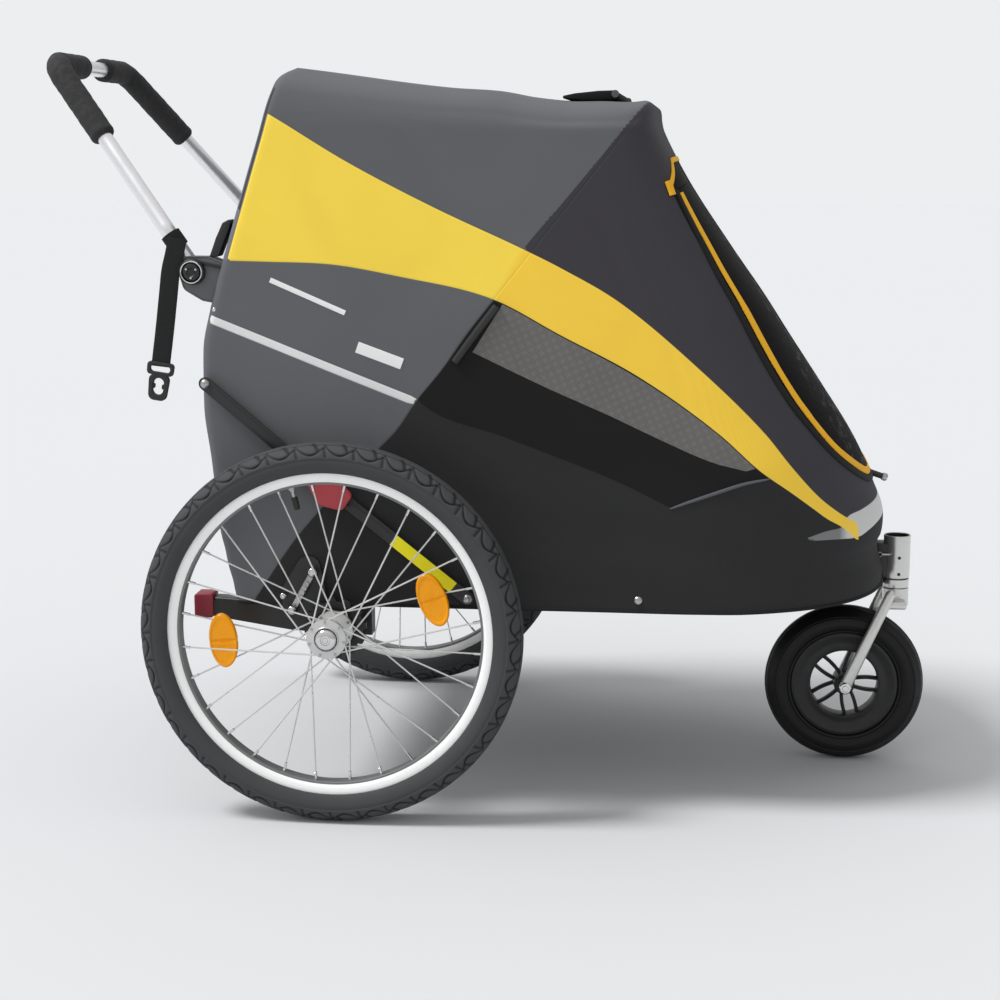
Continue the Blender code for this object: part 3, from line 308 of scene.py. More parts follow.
def apply_modifiers(obj):
    bpy.context.view_layer.update()
    mesh = bpy.data.meshes.new_from_object(obj.evaluated_get(bpy.context.evaluated_depsgraph_get()))
    obj.modifiers.clear()
    old, obj.data = obj.data, mesh
    bpy.data.meshes.remove(old)
    return obj


def bevelled(obj, width, segments=2, angle=35):
    if width:
        add_modifier(obj, "BEVEL", width=width, segments=segments, limit_method="ANGLE",
                     angle_limit=math.radians(angle), harden_normals=False)
        apply_modifiers(obj)
    obj.data.shade_smooth()
    obj.data.set_sharp_from_angle(angle=math.radians(50))
    return obj


def plate(name, outline, low_y, high_y, mat, bevel=0.0008):
    """An outline in X and Z, given a thickness along Y."""
    count = len(outline)
    points = [Vector((p[0], y, p[1])) for y in (low_y, high_y) for p in outline]
    faces = [tuple(range(count)), tuple(range(count, 2 * count))]
    faces += [(k, (k + 1) % count, count + (k + 1) % count, count + k) for k in range(count)]
    return bevelled(mesh_object(name, points, faces, mat, False), bevel)


def box(name, low, high, mat, bevel=0.0008):
    outline = [(low[0], low[2]), (high[0], low[2]), (high[0], high[2]), (low[0], high[2])]
    return plate(name, outline, low[1], high[1], mat, bevel)


def capsule(start, end, radius, steps=8):
    start, end = Vector(start), Vector(end)
    along = (end - start).normalized()
    across = Vector((-along.y, along.x))
    points = []
    for centre, turn in ((end, -1), (start, 1)):
        for k in range(steps + 1):
            angle = math.pi * k / steps
            points.append(centre - along * (turn * radius * math.sin(angle))
                          + across * (-turn * radius * math.cos(angle)))
    return points


def joined(name, objects):
    """One object from several, which keep their own materials."""
    bm = bmesh.new()
    mats = []
    for obj in objects:
        for slot in obj.data.materials:
            if slot not in mats:
                mats.append(slot)
    for obj in objects:
        first = len(bm.faces)
        bm.from_mesh(obj.data)
        bm.faces.ensure_lookup_table()
        for face in bm.faces[first:]:
            face.material_index = mats.index(obj.data.materials[min(face.material_index, len(obj.data.materials) - 1)])
    mesh = bpy.data.meshes.new(name)
    bm.to_mesh(mesh)
    bm.free()
    for mat in mats:
        mesh.materials.append(mat)
    for obj in objects:
        bpy.data.objects.remove(obj, do_unlink=True)
    result = bpy.data.objects.new(name, mesh)
    bpy.context.scene.collection.objects.link(result)
    return result


def cut(obj, cutter, operation="DIFFERENCE"):
    add_modifier(obj, "BOOLEAN", object=cutter, operation=operation, solver="EXACT")
    apply_modifiers(obj)
    bpy.data.objects.remove(cutter, do_unlink=True)
    return obj


def copy_of(obj, name):
    other = bpy.data.objects.new(name, obj.data.copy())
    bpy.context.scene.collection.objects.link(other)
    return other


def keep(obj, body, slot, *nodes):
    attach(obj, body)
    if nodes:
        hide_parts(*nodes)
    return obj


# ---------------------------------------------------------------- materials


def srgb(red, green, blue):
    def linear(value):
        value /= 255
        return value / 12.92 if value <= 0.04045 else ((value + 0.055) / 1.055) ** 2.4
    return (linear(red), linear(green), linear(blue), 1.0)


class Nodes:
    """A Principled material and short ways to add nodes to it."""

    def __init__(self, name, colour, roughness, metallic=0.0, **sockets):
        self.material = bpy.data.materials.new(name)
        self.material.use_nodes = True
        self.tree = self.material.node_tree
        self.shader = self.tree.nodes["Principled BSDF"]
        self.shader.inputs["Base Color"].default_value = colour
        self.shader.inputs["Roughness"].default_value = roughness
        self.shader.inputs["Metallic"].default_value = metallic
        for key, value in sockets.items():
            self.shader.inputs[key.replace("_", " ")].default_value = value
        self.colour = colour
        self.place = self.add("ShaderNodeTexCoord").outputs["Object"]
        self.height = None

    def add(self, kind, inputs=None, **settings):
        node = self.tree.nodes.new(kind)
        for key, value in settings.items():
            setattr(node, key, value)
        for key, value in (inputs or {}).items():
            self.feed(node.inputs[key], value)
        return node

    def feed(self, socket, value):
        if isinstance(value, bpy.types.NodeSocket):
            self.tree.links.new(value, socket)
        elif socket.type == "VECTOR" and hasattr(value, "__len__"):
            socket.default_value = value[:3]
        else:
            socket.default_value = value

    def math(self, operation, a, b=0.0, clamp=False):
        return self.add("ShaderNodeMath", {0: a, 1: b}, operation=operation, use_clamp=clamp).outputs[0]

    def noise(self, scale, detail=3.0, rough=0.5, stretch=None):
        place = self.place
        if stretch:
            place = self.add("ShaderNodeMapping", {"Vector": place, "Scale": stretch}).outputs[0]
        inputs = {"Vector": place, "Scale": scale, "Detail": detail, "Roughness": rough}
        return self.add("ShaderNodeTexNoise", inputs).outputs["Fac"]

    def wave(self, pitch, direction, profile="SIN"):
        inputs = {"Vector": self.place, "Scale": TAU / (20 * pitch), "Distortion": 0.0}
        node = self.add("ShaderNodeTexWave", inputs, bands_direction=direction, wave_profile=profile)
        return node.outputs["Fac"]

    def scaled(self, value, low, high, to_low=0.0, to_high=1.0):
        inputs = {"Value": value, "From Min": low, "From Max": high, "To Min": to_low, "To Max": to_high}
        return self.add("ShaderNodeMapRange", inputs).outputs["Result"]

    def mix(self, factor, a, b):
        inputs = {0: factor, 6: a, 7: b}
        return self.add("ShaderNodeMix", inputs, data_type="RGBA").outputs[2]

    def tint(self, colour, value, amount):
        """colour made lighter and darker by a value from 0 to 1."""
        factor = self.scaled(value, 0.0, 1.0, 1 - amount, 1 + amount)
        scale = self.add("ShaderNodeVectorMath", {0: colour, "Scale": factor}, operation="SCALE")
        return scale.outputs[0]

    def attribute(self, name):
        return self.add("ShaderNodeAttribute", attribute_name=name, attribute_type="GEOMETRY").outputs["Fac"]

    def set_colour(self, value):
        self.feed(self.shader.inputs["Base Color"], value)

    def set_roughness(self, value):
        self.feed(self.shader.inputs["Roughness"], value)

    def bump(self, value, distance, strength=1.0):
        inputs = {"Height": value, "Distance": distance, "Strength": strength}
        if self.height is not None:
            inputs["Normal"] = self.height
        self.height = self.add("ShaderNodeBump", inputs).outputs["Normal"]
        self.feed(self.shader.inputs["Normal"], self.height)


def weave(nodes, pitch, depth, strength=0.6):
    """Threads over and under each other, on faces that look any way."""
    x, y, z = (nodes.wave(pitch, axis) for axis in "XYZ")
    warp = nodes.math("MULTIPLY", x, z)
    weft = nodes.math("MULTIPLY", y, z)
    threads = nodes.math("ADD", warp, weft)
    nodes.bump(threads, depth, strength)
    return threads


def plain(name, colour, roughness, metallic=0.0, mottle=0.08, grain=(400.0, 0.00005), blotch=14.0, **sockets):
    """A solid material with slight blotches in its colour and gloss, and a fine grain."""
    nodes = Nodes(name, colour, roughness, metallic, **sockets)
    cloud = nodes.noise(blotch, 4.0)
    nodes.set_colour(nodes.tint(colour, cloud, mottle))
    nodes.set_roughness(nodes.scaled(nodes.noise(blotch * 4, 3.0), 0.3, 0.7, roughness * 0.88, roughness * 1.12))
    if grain:
        nodes.bump(nodes.noise(grain[0], 2.0), grain[1])
    return nodes.material


def cloth(name, colour, pitch=0.0012, mottle=0.06, roughness=0.78, depth=0.00012):
    nodes = Nodes(name, colour, roughness, Specular_IOR_Level=0.25)
    threads = weave(nodes, pitch, depth)
    cloud = nodes.noise(9.0, 4.0)
    nodes.set_colour(nodes.tint(nodes.tint(colour, cloud, mottle), threads, 0.05))
    nodes.bump(nodes.noise(38.0, 3.0), 0.0006, 0.35)
    return nodes.material


GREY = srgb(97, 98, 101)
LOWER_GREY = srgb(98, 100, 103)
# Painted shade: the grey cloth ahead of the hoop seam, darker where it turns away from the light.
SHADED_FRONT_GREY = srgb(60, 58, 63)
YELLOW = srgb(255, 222, 81)
# Painted shade: the yellow ahead of the hoop seam, darker where that panel turns away from the light.
SHADED_YELLOW_AHEAD = srgb(250, 208, 70)
BLACK_CLOTH = srgb(41, 41, 42)
DARK_CLOTH = srgb(22, 20, 21)
STRIPE_SILVER = srgb(226, 229, 228)
NOSE_SILVER = srgb(203, 204, 203)
TAIL_GREY = srgb(124, 124, 125)

black_metal = plain("black_powder_coat", srgb(34, 34, 35), 0.42, 0.0, grain=(900.0, 0.00004))
silver_paint = plain("silver_paint", srgb(214, 214, 211), 0.32, 0.85, grain=(700.0, 0.00003))
steel = plain("zinc_steel", srgb(178, 178, 176), 0.30, 1.0, grain=(600.0, 0.00003))
spoke_steel = plain("spoke_steel", srgb(215, 215, 214), 0.30, 0.5, grain=None)
hub_metal = plain("hub_metal", srgb(205, 205, 204), 0.32, 0.6, grain=(700.0, 0.00003))
rim_well = plain("rim_well", srgb(120, 121, 122), 0.5, 0.3, grain=(700.0, 0.00003))
chrome = plain("polished_chrome", srgb(215, 215, 215), 0.12, 1.0, mottle=0.03, grain=None)
black_plastic = plain("black_plastic", srgb(30, 30, 31), 0.5, grain=(500.0, 0.00006))
bracket_plastic = plain("bracket_plastic", srgb(90, 91, 92), 0.5, grain=(500.0, 0.00008))
red_plastic = plain("red_plastic", srgb(186, 62, 70), 0.42, mottle=0.1)
dark_red_plastic = plain("dark_red_plastic", srgb(132, 36, 50), 0.42, mottle=0.1)
caster_rubber = plain("caster_rubber", srgb(14, 14, 15), 0.48, Specular_IOR_Level=0.3, mottle=0.12,
                      grain=(350.0, 0.0001), blotch=30.0)
foam = plain("grip_foam", srgb(47, 47, 48), 0.93, mottle=0.12, grain=(650.0, 0.0004), blotch=40.0)
amber = plain("amber_lens", srgb(252, 164, 0), 0.22, mottle=0.05, grain=None, Specular_IOR_Level=0.3)
label_yellow = plain("label_yellow", srgb(255, 242, 0), 0.6, mottle=0.03, grain=None)
white_film = plain("white_film", srgb(240, 240, 240), 0.5, mottle=0.02, grain=None)
webbing = cloth("black_webbing", srgb(32, 34, 34), 0.0016, 0.1, 0.8, 0.0003)
trim_yellow = cloth("yellow_binding", srgb(238, 178, 40), 0.0012)
trim_black = cloth("black_binding", srgb(26, 26, 27), 0.0012)
trim_grey = cloth("grey_binding", srgb(84, 86, 90), 0.0012)
lining = cloth("cabin_lining", srgb(38, 38, 39))


def tread_rubber():
    """Dusty grey rubber, darkened with painted shade down in the grooves, whose depth is stored on the mesh."""
    colour = srgb(64, 65, 67)
    nodes = Nodes("tyre_rubber", colour, 0.74, Specular_IOR_Level=0.35)
    # Painted shade: the tread is darkened where the stored groove depth is large.
    groove = nodes.scaled(nodes.attribute("groove"), 0.15, 0.75)
    nodes.set_colour(nodes.mix(groove, nodes.tint(colour, nodes.noise(22.0, 4.0), 0.14), srgb(22, 22, 23)))
    nodes.bump(nodes.noise(350.0, 2.0), 0.00015)
    return nodes.material


def door_mesh_cloth():
    """Black netting; painted lighter patches stand in for the light that its folds near the nose catch."""
    nodes = Nodes("door_mesh", srgb(14, 14, 13), 0.8, Specular_IOR_Level=0.12)
    across = nodes.add("ShaderNodeSeparateXYZ", {0: nodes.place}).outputs[1]
    middle = nodes.scaled(nodes.math("ABSOLUTE", across), 0.185, 0.12)
    creases = nodes.scaled(nodes.noise(46.0, 6.0, 0.65, (1.6, 0.7, 1.0)), 0.50, 0.66)
    # Painted highlight: lighter patches on the folds, strongest across the middle of the door.
    painted_sheen = nodes.math("MULTIPLY", nodes.math("MULTIPLY", creases, nodes.scaled(nodes.noise(15.0, 2.0), 0.44, 0.58)),
                         middle)
    nodes.set_colour(nodes.mix(painted_sheen, nodes.tint(nodes.colour, nodes.noise(9.0), 0.2), srgb(104, 101, 97)))
    weave(nodes, 0.0018, 0.0003)
    nodes.bump(nodes.noise(30.0, 4.0, 0.6), 0.0012, 0.4)
    return nodes.material


def brushed_aluminium():
    nodes = Nodes("brushed_aluminium", srgb(240, 240, 242), 0.32, 1.0)
    streaks = nodes.noise(60.0, 2.0, stretch=(1.0, 1.0, 0.2))
    nodes.set_colour(nodes.tint(nodes.colour, streaks, 0.03))
    nodes.set_roughness(nodes.scaled(streaks, 0.3, 0.7, 0.29, 0.35))
    return nodes.material


def rim_metal():
    nodes = Nodes("rim_metal", srgb(252, 252, 251), 0.36)
    nodes.set_colour(nodes.tint(nodes.colour, nodes.noise(60.0, 3.0), 0.03))
    nodes.bump(nodes.noise(900.0, 2.0), 0.00003)
    return nodes.material


def window_mesh():
    """An open grid of grey threads that lets some light through."""
    nodes = Nodes("window_mesh", srgb(108, 107, 104), 0.7, Specular_IOR_Level=0.3)
    nodes.place = nodes.add("ShaderNodeMapping", {"Vector": nodes.place, "Rotation": (0, 0.42, 0)}).outputs[0]
    grid = nodes.math("MAXIMUM", nodes.wave(0.0030, "X"), nodes.wave(0.0030, "Z"))
    plaid = nodes.math("MULTIPLY", nodes.wave(0.0100, "X"), nodes.wave(0.0095, "Z"))
    fine = nodes.math("MULTIPLY", nodes.wave(0.0015, "X"), nodes.wave(0.0015, "Z"))
    body = nodes.mix(nodes.scaled(grid, 0.35, 1.0), srgb(97, 96, 94), srgb(114, 112, 110))
    body = nodes.mix(nodes.scaled(plaid, 0.0, 1.0, 0.0, 0.25), body, srgb(140, 138, 135))
    nodes.set_colour(nodes.tint(body, nodes.noise(26.0, 3.0), 0.08))
    nodes.feed(nodes.shader.inputs["Alpha"], nodes.scaled(fine, 0.0, 0.5, 0.86, 1.0))
    nodes.bump(grid, 0.0002, 0.5)
    return nodes.material


def cabin_material():
    """Panels of grey, yellow and black cloth; their edges are stored on the mesh as distances. The grey and the yellow
    ahead of the hoop seam are darkened with painted shade.
    """
    nodes = Nodes("cabin_cloth", GREY, 0.8, Specular_IOR_Level=0.25)
    threads = weave(nodes, 0.0012, 0.0001)

    def inside(name, low=-0.0004, high=0.0004):
        return nodes.scaled(nodes.attribute(name), low, high)

    # Painted shade darkens the grey cloth ahead of the hoop seam.
    colour = nodes.mix(inside("front"), GREY, SHADED_FRONT_GREY)
    lower = nodes.mix(inside("black"), LOWER_GREY, BLACK_CLOTH)
    lower = nodes.mix(inside("dark"), lower, DARK_CLOTH)
    colour = nodes.mix(inside("under"), colour, lower)
    colour = nodes.mix(inside("seam"), colour, srgb(52, 51, 55))
    colour = nodes.mix(inside("edge"), colour, srgb(24, 24, 25))
    silver = nodes.mix(inside("tail", 0.0, 0.02), STRIPE_SILVER, TAIL_GREY)
    silver = nodes.mix(inside("tail", 0.058, 0.070), silver, NOSE_SILVER)
    colour = nodes.mix(inside("silver"), colour, silver)
    colour = nodes.mix(inside("strip"), colour, srgb(110, 112, 120))
    # Painted shade darkens the yellow band ahead of the hoop seam.
    yellow = nodes.mix(inside("ahead", -0.004, 0.004), YELLOW, SHADED_YELLOW_AHEAD)
    colour = nodes.mix(inside("yellow"), colour, nodes.tint(yellow, nodes.noise(16.0, 3.0), 0.02))
    colour = nodes.tint(nodes.tint(colour, nodes.noise(5.0, 3.0), 0.05), threads, 0.04)
    nodes.set_colour(colour)
    nodes.set_roughness(nodes.scaled(inside("silver"), 0.0, 1.0, 0.78, 0.42))
    for name in ("yellow", "black", "silver"):
        distance = nodes.math("ABSOLUTE", nodes.attribute(name))
        nodes.bump(nodes.scaled(distance, 0.0, 0.0018), 0.0006, 0.6)
        stitch = nodes.math("ABSOLUTE", nodes.math("SUBTRACT", distance, 0.004))
        nodes.bump(nodes.scaled(stitch, 0.0, 0.0006), 0.00015, 0.4)
    nodes.bump(nodes.noise(30.0, 3.0), 0.0007, 0.3)
    return nodes.material


tyre_rubber = tread_rubber()
door_mesh_black = door_mesh_cloth()
rim_aluminium = rim_metal()
aluminium = brushed_aluminium()
mesh_grey = window_mesh()
cabin_cloth = cabin_material()


# ---------------------------------------------------------------- cabin


def level_at(key):
    """The cabin's level whose rear edge is at height key."""
    keys = LEVELS[:, 0]
    return np.array([smooth(key, list(zip(keys, LEVELS[:, k]))) for k in range(7)])


def ring_plan(level):
    """Half of a level's outline, from the middle of the rear round by the side to the nose."""
    _, _, rear_x, front_x, nose_x, half_width, square = level
    points = [(rear_x, y) for y in np.linspace(0, half_width - REAR_CORNER, 14, endpoint=False)]
    for turn in np.linspace(0, math.pi / 2, 6):
        points.append((rear_x + REAR_CORNER * (1 - math.cos(turn)), half_width - REAR_CORNER * (1 - math.sin(turn))))
    points += [(x, half_width) for x in np.linspace(rear_x + REAR_CORNER, nose_x, 74)[1:-1]]
    for turn in np.linspace(0, math.pi / 2, 52):
        s, c = math.sin(turn), math.cos(turn)
        size = (s ** square + c ** square) ** (-1 / square)
        points.append((nose_x + (front_x - nose_x) * s * size, half_width * c * size))
    return np.array(points)


def ripple(x, z):
    """Soft folds of a few millimetres where the cloth hangs less tight."""
    slack = np.clip((0.60 - z) / 0.25, 0, 1) * np.clip((x + 0.30) / 0.2, 0, 1)
    folds = np.sin(31 * x + 47 * z + 1.3 * np.sin(19 * x)) * np.sin(13 * x - 24 * z + 0.7)
    quiet = np.sin(17 * x + 9 * z) * np.sin(11 * z - 8 * x + 1.1)
    return 0.0011 * slack * folds + 0.0011 * quiet


def shell_rows():
    """Rows of points up the cabin and over its roof."""
    keys = np.concatenate((np.linspace(0.27, 0.87, 116), np.linspace(0.875, 0.957, 30)))
    rows, sags = [], []
    for key in keys:
        level = level_at(key)
        plan = ring_plan(level)
        x, y = plan[:, 0], plan[:, 1]
        z = level[0] + (level[1] - level[0]) * (x - level[2]) / (level[3] - level[2])
        rows.append(np.stack([x, y, z], axis=1))
        sags.append(np.clip((key - 0.85) / 0.075, 0, 1) ** 2)
    last = rows[-1]
    top = LEVELS[-1]
    for share in np.linspace(0.06, 1, 22):
        x = last[:, 0] + (np.clip(last[:, 0], top[2] + 0.12, top[3] - 0.12) - last[:, 0]) * share
        y = last[:, 1] * (1 - share)
        z = top[0] + (top[1] - top[0]) * (x - top[2]) / (top[3] - top[2])
        z = z + 0.0045 * (1 - (1 - share) ** 2)
        rows.append(np.stack([x, y, z], axis=1))
        sags.append(1.0)
    half = np.array(rows)
    half[..., 2] -= smooth(half[..., 0], ROOF_SAG).clip(0) * np.array(sags)[:, None]
    x, y, z = half[..., 0], half[..., 1], half[..., 2]
    wide = np.clip(1 - (y / 0.27) ** 2, 0, 1)
    rear = np.clip((-0.24 - x) / 0.04, 0, 1) * np.clip((0.93 - z) / 0.1, 0, 1) * np.clip((z - 0.27) / 0.12, 0, 1)
    half[..., 0] = x - 0.015 * wide * rear
    flank = (np.abs(y) > 0.2) & (x > -0.33) & (x < 0.42) & (z < 0.95)
    half[..., 1] = y + np.where(flank, ripple(x, z), 0.0) * np.clip((0.42 - x) / 0.1, 0, 1)
    mirrored = half[:, ::-1].copy()
    mirrored[..., 1] *= -1
    return np.concatenate((half, mirrored[:, 1:-1]), axis=1)


def outward(obj):
    """Turn every face away from the middle of the cabin."""
    bm = bmesh.new()
    bm.from_mesh(obj.data)
    bmesh.ops.recalc_face_normals(bm, faces=bm.faces)
    bm.faces.ensure_lookup_table()
    side = min(bm.faces, key=lambda f: (f.calc_center_median() - Vector((0, -0.28, 0.6))).length)
    if side.normal.y > 0:
        bmesh.ops.reverse_faces(bm, faces=bm.faces)
    bm.to_mesh(obj.data)
    bm.free()


def door_place(across, down, out=0.0):
    """A point on the door's plane, from its hinge line."""
    slope = (DOOR_FOOT - DOOR_HINGE).normalized()
    normal = slope.cross(Vector((0, 1, 0)))
    return DOOR_HINGE + Vector((0, across, 0)) + slope * down + normal * out


def door_outline(shrink, count=40):
    """The door's edge, from its hinge's left end down round the foot and up again, moved in by shrink."""
    half = spaced(DOOR_EDGE, count)
    loop = np.concatenate((half, half[-2::-1] * (-1, 1)))
    along = np.gradient(loop, axis=0)
    along[0], along[count - 1], along[-1] = (0, 1), (-1, 0), (0, -1)
    along /= np.linalg.norm(along, axis=1)[:, None]
    loop = loop + shrink * np.stack([-along[:, 1], along[:, 0]], axis=1)
    loop[:, 1] = np.maximum(loop[:, 1], max(shrink, 0.0))
    return loop


def slope_prism(name, outline):
    """A cutter through the cabin's front, square to the door's plane."""
    count = len(outline)
    points = [door_place(p[0], p[1], out) for out in (-0.075, 0.055) for p in outline]
    faces = [tuple(range(count)), tuple(range(count, 2 * count))]
    faces += [(k, (k + 1) % count, count + (k + 1) % count, count + k) for k in range(count)]
    return mesh_object(name, points, faces, None, False)


def header_outline():
    corner = DOOR_EDGE[0]
    right = [corner, *HEADER_EDGE]
    return right + [(-a, d) for a, d in reversed(right)]


def window_cutter(name, sign, shrink):
    foot = [Vector(p) for p in spaced(WINDOW_FOOT, 24)]
    top = [Vector((x, float(smooth(x, BAND_FOOT)) - 0.0015)) for x in np.linspace(0.347, WINDOW_LEFT, 24)]
    top = [p for p in top if p.y > float(smooth(p.x, [(q.x, q.y) for q in foot])) + 0.002]
    outline = foot[:-1] + top
    centre = sum(outline, Vector((0, 0))) / len(outline)
    outline = [p + (centre - p).normalized() * shrink for p in outline]
    return plate(name, outline, sign * 0.20, sign * 0.31, None, 0)


def door_distance(points):
    """Distance outside the door's outline, measured on its plane."""
    slope = np.array((DOOR_FOOT - DOOR_HINGE).normalized())
    offset = points - np.array(DOOR_HINGE)
    plane = np.stack([offset[:, 1], offset @ slope], axis=1)
    outline = door_outline(0.0)
    following = np.roll(outline, -1, axis=0)
    nearest = np.full(len(points), 9.0)
    crossings = np.zeros(len(points), bool)
    for a, b in zip(outline, following):
        edge = b - a
        t = np.clip(((plane - a) @ edge) / (edge @ edge), 0, 1)
        nearest = np.minimum(nearest, np.linalg.norm(plane - a - t[:, None] * edge, axis=1))
        spans = (a[1] > plane[:, 1]) != (b[1] > plane[:, 1])
        at = a[0] + (plane[:, 1] - a[1]) * edge[0] / (edge[1] if edge[1] else 1e-9)
        crossings ^= spans & (plane[:, 0] < at)
    return np.where(crossings, -nearest, nearest)


def line_side(x, z, line, along="x"):
    """Signed distance from a line that runs along x or z: positive below it, or ahead of it."""
    if along == "x":
        ahead = 0.002
        value = smooth(x, line)
        slope = (smooth(x + ahead, line) - smooth(x - ahead, line)) / (2 * ahead)
        return (value - z) / np.sqrt(1 + slope ** 2)
    turned_line = sorted((q, p) for p, q in line)
    value = smooth(z, turned_line)
    slope = (smooth(z + 0.002, turned_line) - smooth(z - 0.002, turned_line)) / 0.004
    return (x - value) / np.sqrt(1 + slope ** 2)


# Stands for a point that is not on the panel at all.
FAR_OUTSIDE = -0.05


def panel_fields(points):
    """Distances from the panels' edges, for each point of the cabin; positive is inside."""
    x, y, z = points.T
    rear_x = smooth(z, list(zip(LEVELS[:, 0], LEVELS[:, 2])))
    from_rear = x - rear_x - REAR_CORNER * 0.35
    on_flank = np.where(np.abs(y) > 0.2, from_rear, np.minimum(from_rear, x))
    below_top = line_side(x, z, BAND_TOP)
    above_foot = -line_side(x, z, BAND_FOOT)
    yellow = np.minimum(np.minimum(below_top, above_foot), on_flank - 0.0035)
    ahead = line_side(x, z, HOOP_SEAM, "z")
    under = -above_foot
    # front marks the cloth ahead of the hoop seam and above the yellow band, which the material darkens with painted
    # shade.
    front = np.minimum(ahead, -below_top)
    seam = np.minimum(0.0011 - np.abs(ahead), -below_top)
    black = line_side(x, z, GREY_EDGE, "z")
    dark = np.minimum(black, -line_side(x, z, DARK_FOOT))
    crease_ahead = -line_side(x, z, PIPING)
    dark = np.where(x > 0.240, np.minimum(black, crease_ahead), dark)
    stripe = 0.0050 - np.abs(line_side(x, z, STRIPE))
    stripe = np.minimum(stripe, np.minimum(-black - 0.001, on_flank))
    below_nose = line_side(x, z, NOSE_FOOT)
    nose = np.where(x > 0.4055, np.minimum(line_side(x, z, NOSE_TOP), -below_nose), FAR_OUTSIDE)
    under = np.maximum(under, np.where(x > 0.44, below_nose, FAR_OUTSIDE))
    outside_door = door_distance(points)
    edge = 0.006 + 0.006 * np.clip((z - 0.70) / 0.09, 0, 1) - np.abs(outside_door)
    edge = np.where((x > 0.2) & (z > 0.39) & (z < 0.825), edge, FAR_OUTSIDE)
    strip = np.minimum(0.0040 - on_flank, np.minimum(below_top, above_foot))
    strip = np.where(np.abs(y) > 0.262, strip, FAR_OUTSIDE)
    return {"yellow": yellow, "under": under, "front": front, "black": black, "dark": dark, "seam": seam,
            "ahead": ahead, "silver": np.maximum(stripe, nose), "edge": edge, "strip": strip, "tail": x - 0.40}


def store(obj, fields):
    for name, values in fields.items():
        layer = obj.data.attributes.new(name, "FLOAT", "POINT")
        layer.data.foreach_set("value", values.astype(np.float32))


def mesh_points(obj):
    data = np.empty(len(obj.data.vertices) * 3)
    obj.data.vertices.foreach_get("co", data)
    return data.reshape(-1, 3)


rows = shell_rows()
shell = mesh_object("cabin_cloth", rows.reshape(-1, 3), grid_faces(rows.shape[0], rows.shape[1], False, True),
                    cabin_cloth)
outward(shell)
skin = BVHTree.FromObject(shell, bpy.context.evaluated_depsgraph_get())


def on_flank(x, z, sign, lift=0.0):
    """The cloth's point and normal at a place on the cabin's side."""
    place, normal, _, _ = skin.ray_cast(Vector((x, sign * 0.5, z)), Vector((0, -sign, 0)))
    if place is None:
        place, normal = Vector((x, sign * 0.277, z)), Vector((0, sign, 0))
    if normal.y * sign < 0:
        normal = -normal
    return place + normal * lift, normal


def on_front(across, down, lift=0.0):
    """The cloth's point and normal at a place on the door's plane."""
    start = door_place(across, down, 0.2)
    direction = (door_place(across, down) - start).normalized()
    place, normal, _, _ = skin.ray_cast(start, direction)
    if place is None:
        place, normal = door_place(across, down), -direction
    if normal.dot(direction) > 0:
        normal = -normal
    return place + normal * lift, normal


def flank_line(line, sign, count, lift=0.0):
    pairs = [on_flank(p[0], p[1], sign, lift) for p in spaced(line, count)]
    return [p for p, _ in pairs], [n for _, n in pairs]


patch = copy_of(shell, "patch")
shell.data.materials.append(lining)
for piece, inner_slot in ((shell, 1), (patch, 0)):
    add_modifier(piece, "SOLIDIFY", thickness=CLOTH, offset=-1, use_even_offset=False, material_offset=inner_slot)
    apply_modifiers(piece)

door = cut(copy_of(patch, "door_mesh"), slope_prism("keep_door", door_outline(0.0006)), "INTERSECT")
header = cut(copy_of(patch, "door_header"), slope_prism("keep_header", header_outline()), "INTERSECT")
windows = {}
for side, sign in SIDES:
    windows[side] = cut(copy_of(patch, f"window_mesh_{side}"), window_cutter("keep_window", sign, 0.0006), "INTERSECT")
    cut(shell, window_cutter("cut_window", sign, 0.0))
cut(shell, slope_prism("cut_doorway", list(map(tuple, door_outline(0.0))) + header_outline()[-2:0:-1]))
bpy.data.objects.remove(patch, do_unlink=True)
store(shell, panel_fields(mesh_points(shell)))


def soften(obj, mat=None, sharp=50):
    if mat:
        obj.data.materials.clear()
        obj.data.materials.append(mat)
    obj.data.shade_smooth()
    obj.data.set_sharp_from_angle(angle=math.radians(sharp))
    return obj


soften(shell)
soften(door, door_mesh_black)
soften(header, door_mesh_black)
for side, _ in SIDES:
    soften(windows[side], mesh_grey)


def fold_flat(obj):
    """Give a cabin piece its own copy of its mesh."""
    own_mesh(obj)
    return obj


soft_pieces = []


def cabin_piece(obj, slot="roof_fabric", body="base", nodes=()):
    keep(obj, body, slot, *nodes)
    soft_pieces.append(obj)
    return obj


cabin_piece(shell, "roof_fabric", "base", ("canopy", "cabin_tub"))
cabin_piece(door, "mesh_fabric", "front_door", ("front_door",))
cabin_piece(header, "mesh_fabric")
for side, sign in SIDES:
    cabin_piece(windows[side], "mesh_fabric", "base", (f"side_window_{side}",))
    path, _ = flank_line(PIPING, sign, 24, 0.0002)
    cabin_piece(tube(f"flank_piping_{side}", path,
                     [0.0008 + 0.0016 * math.sin(math.pi * k / 23) ** 0.5 for k in range(24)], trim_grey, 8))
    path, _ = flank_line(HOOP_SLEEVE, sign, 16, 0.001)
    cabin_piece(tube(f"hoop_sleeve_{side}", path, 0.0052, black_plastic, 12), "tub_fabric")
    corner = [(float(level_at(z)[2]) + REAR_CORNER * 0.35, z) for z in np.linspace(0.78, 0.93, 10)]
    path, _ = flank_line(corner, sign, 50, 0.0)
    cabin_piece(tube(f"rear_corner_piping_{side}", path, 0.0016, trim_grey, 8))
    for number, (start, end, width) in enumerate(WHITE_BARS, 1):
        path, normals = flank_line((start, end), sign, 24, 0.0001)
        cabin_piece(ribbon(f"white_bar_{side}_{number}", path, normals, width, 0.0004, white_film))

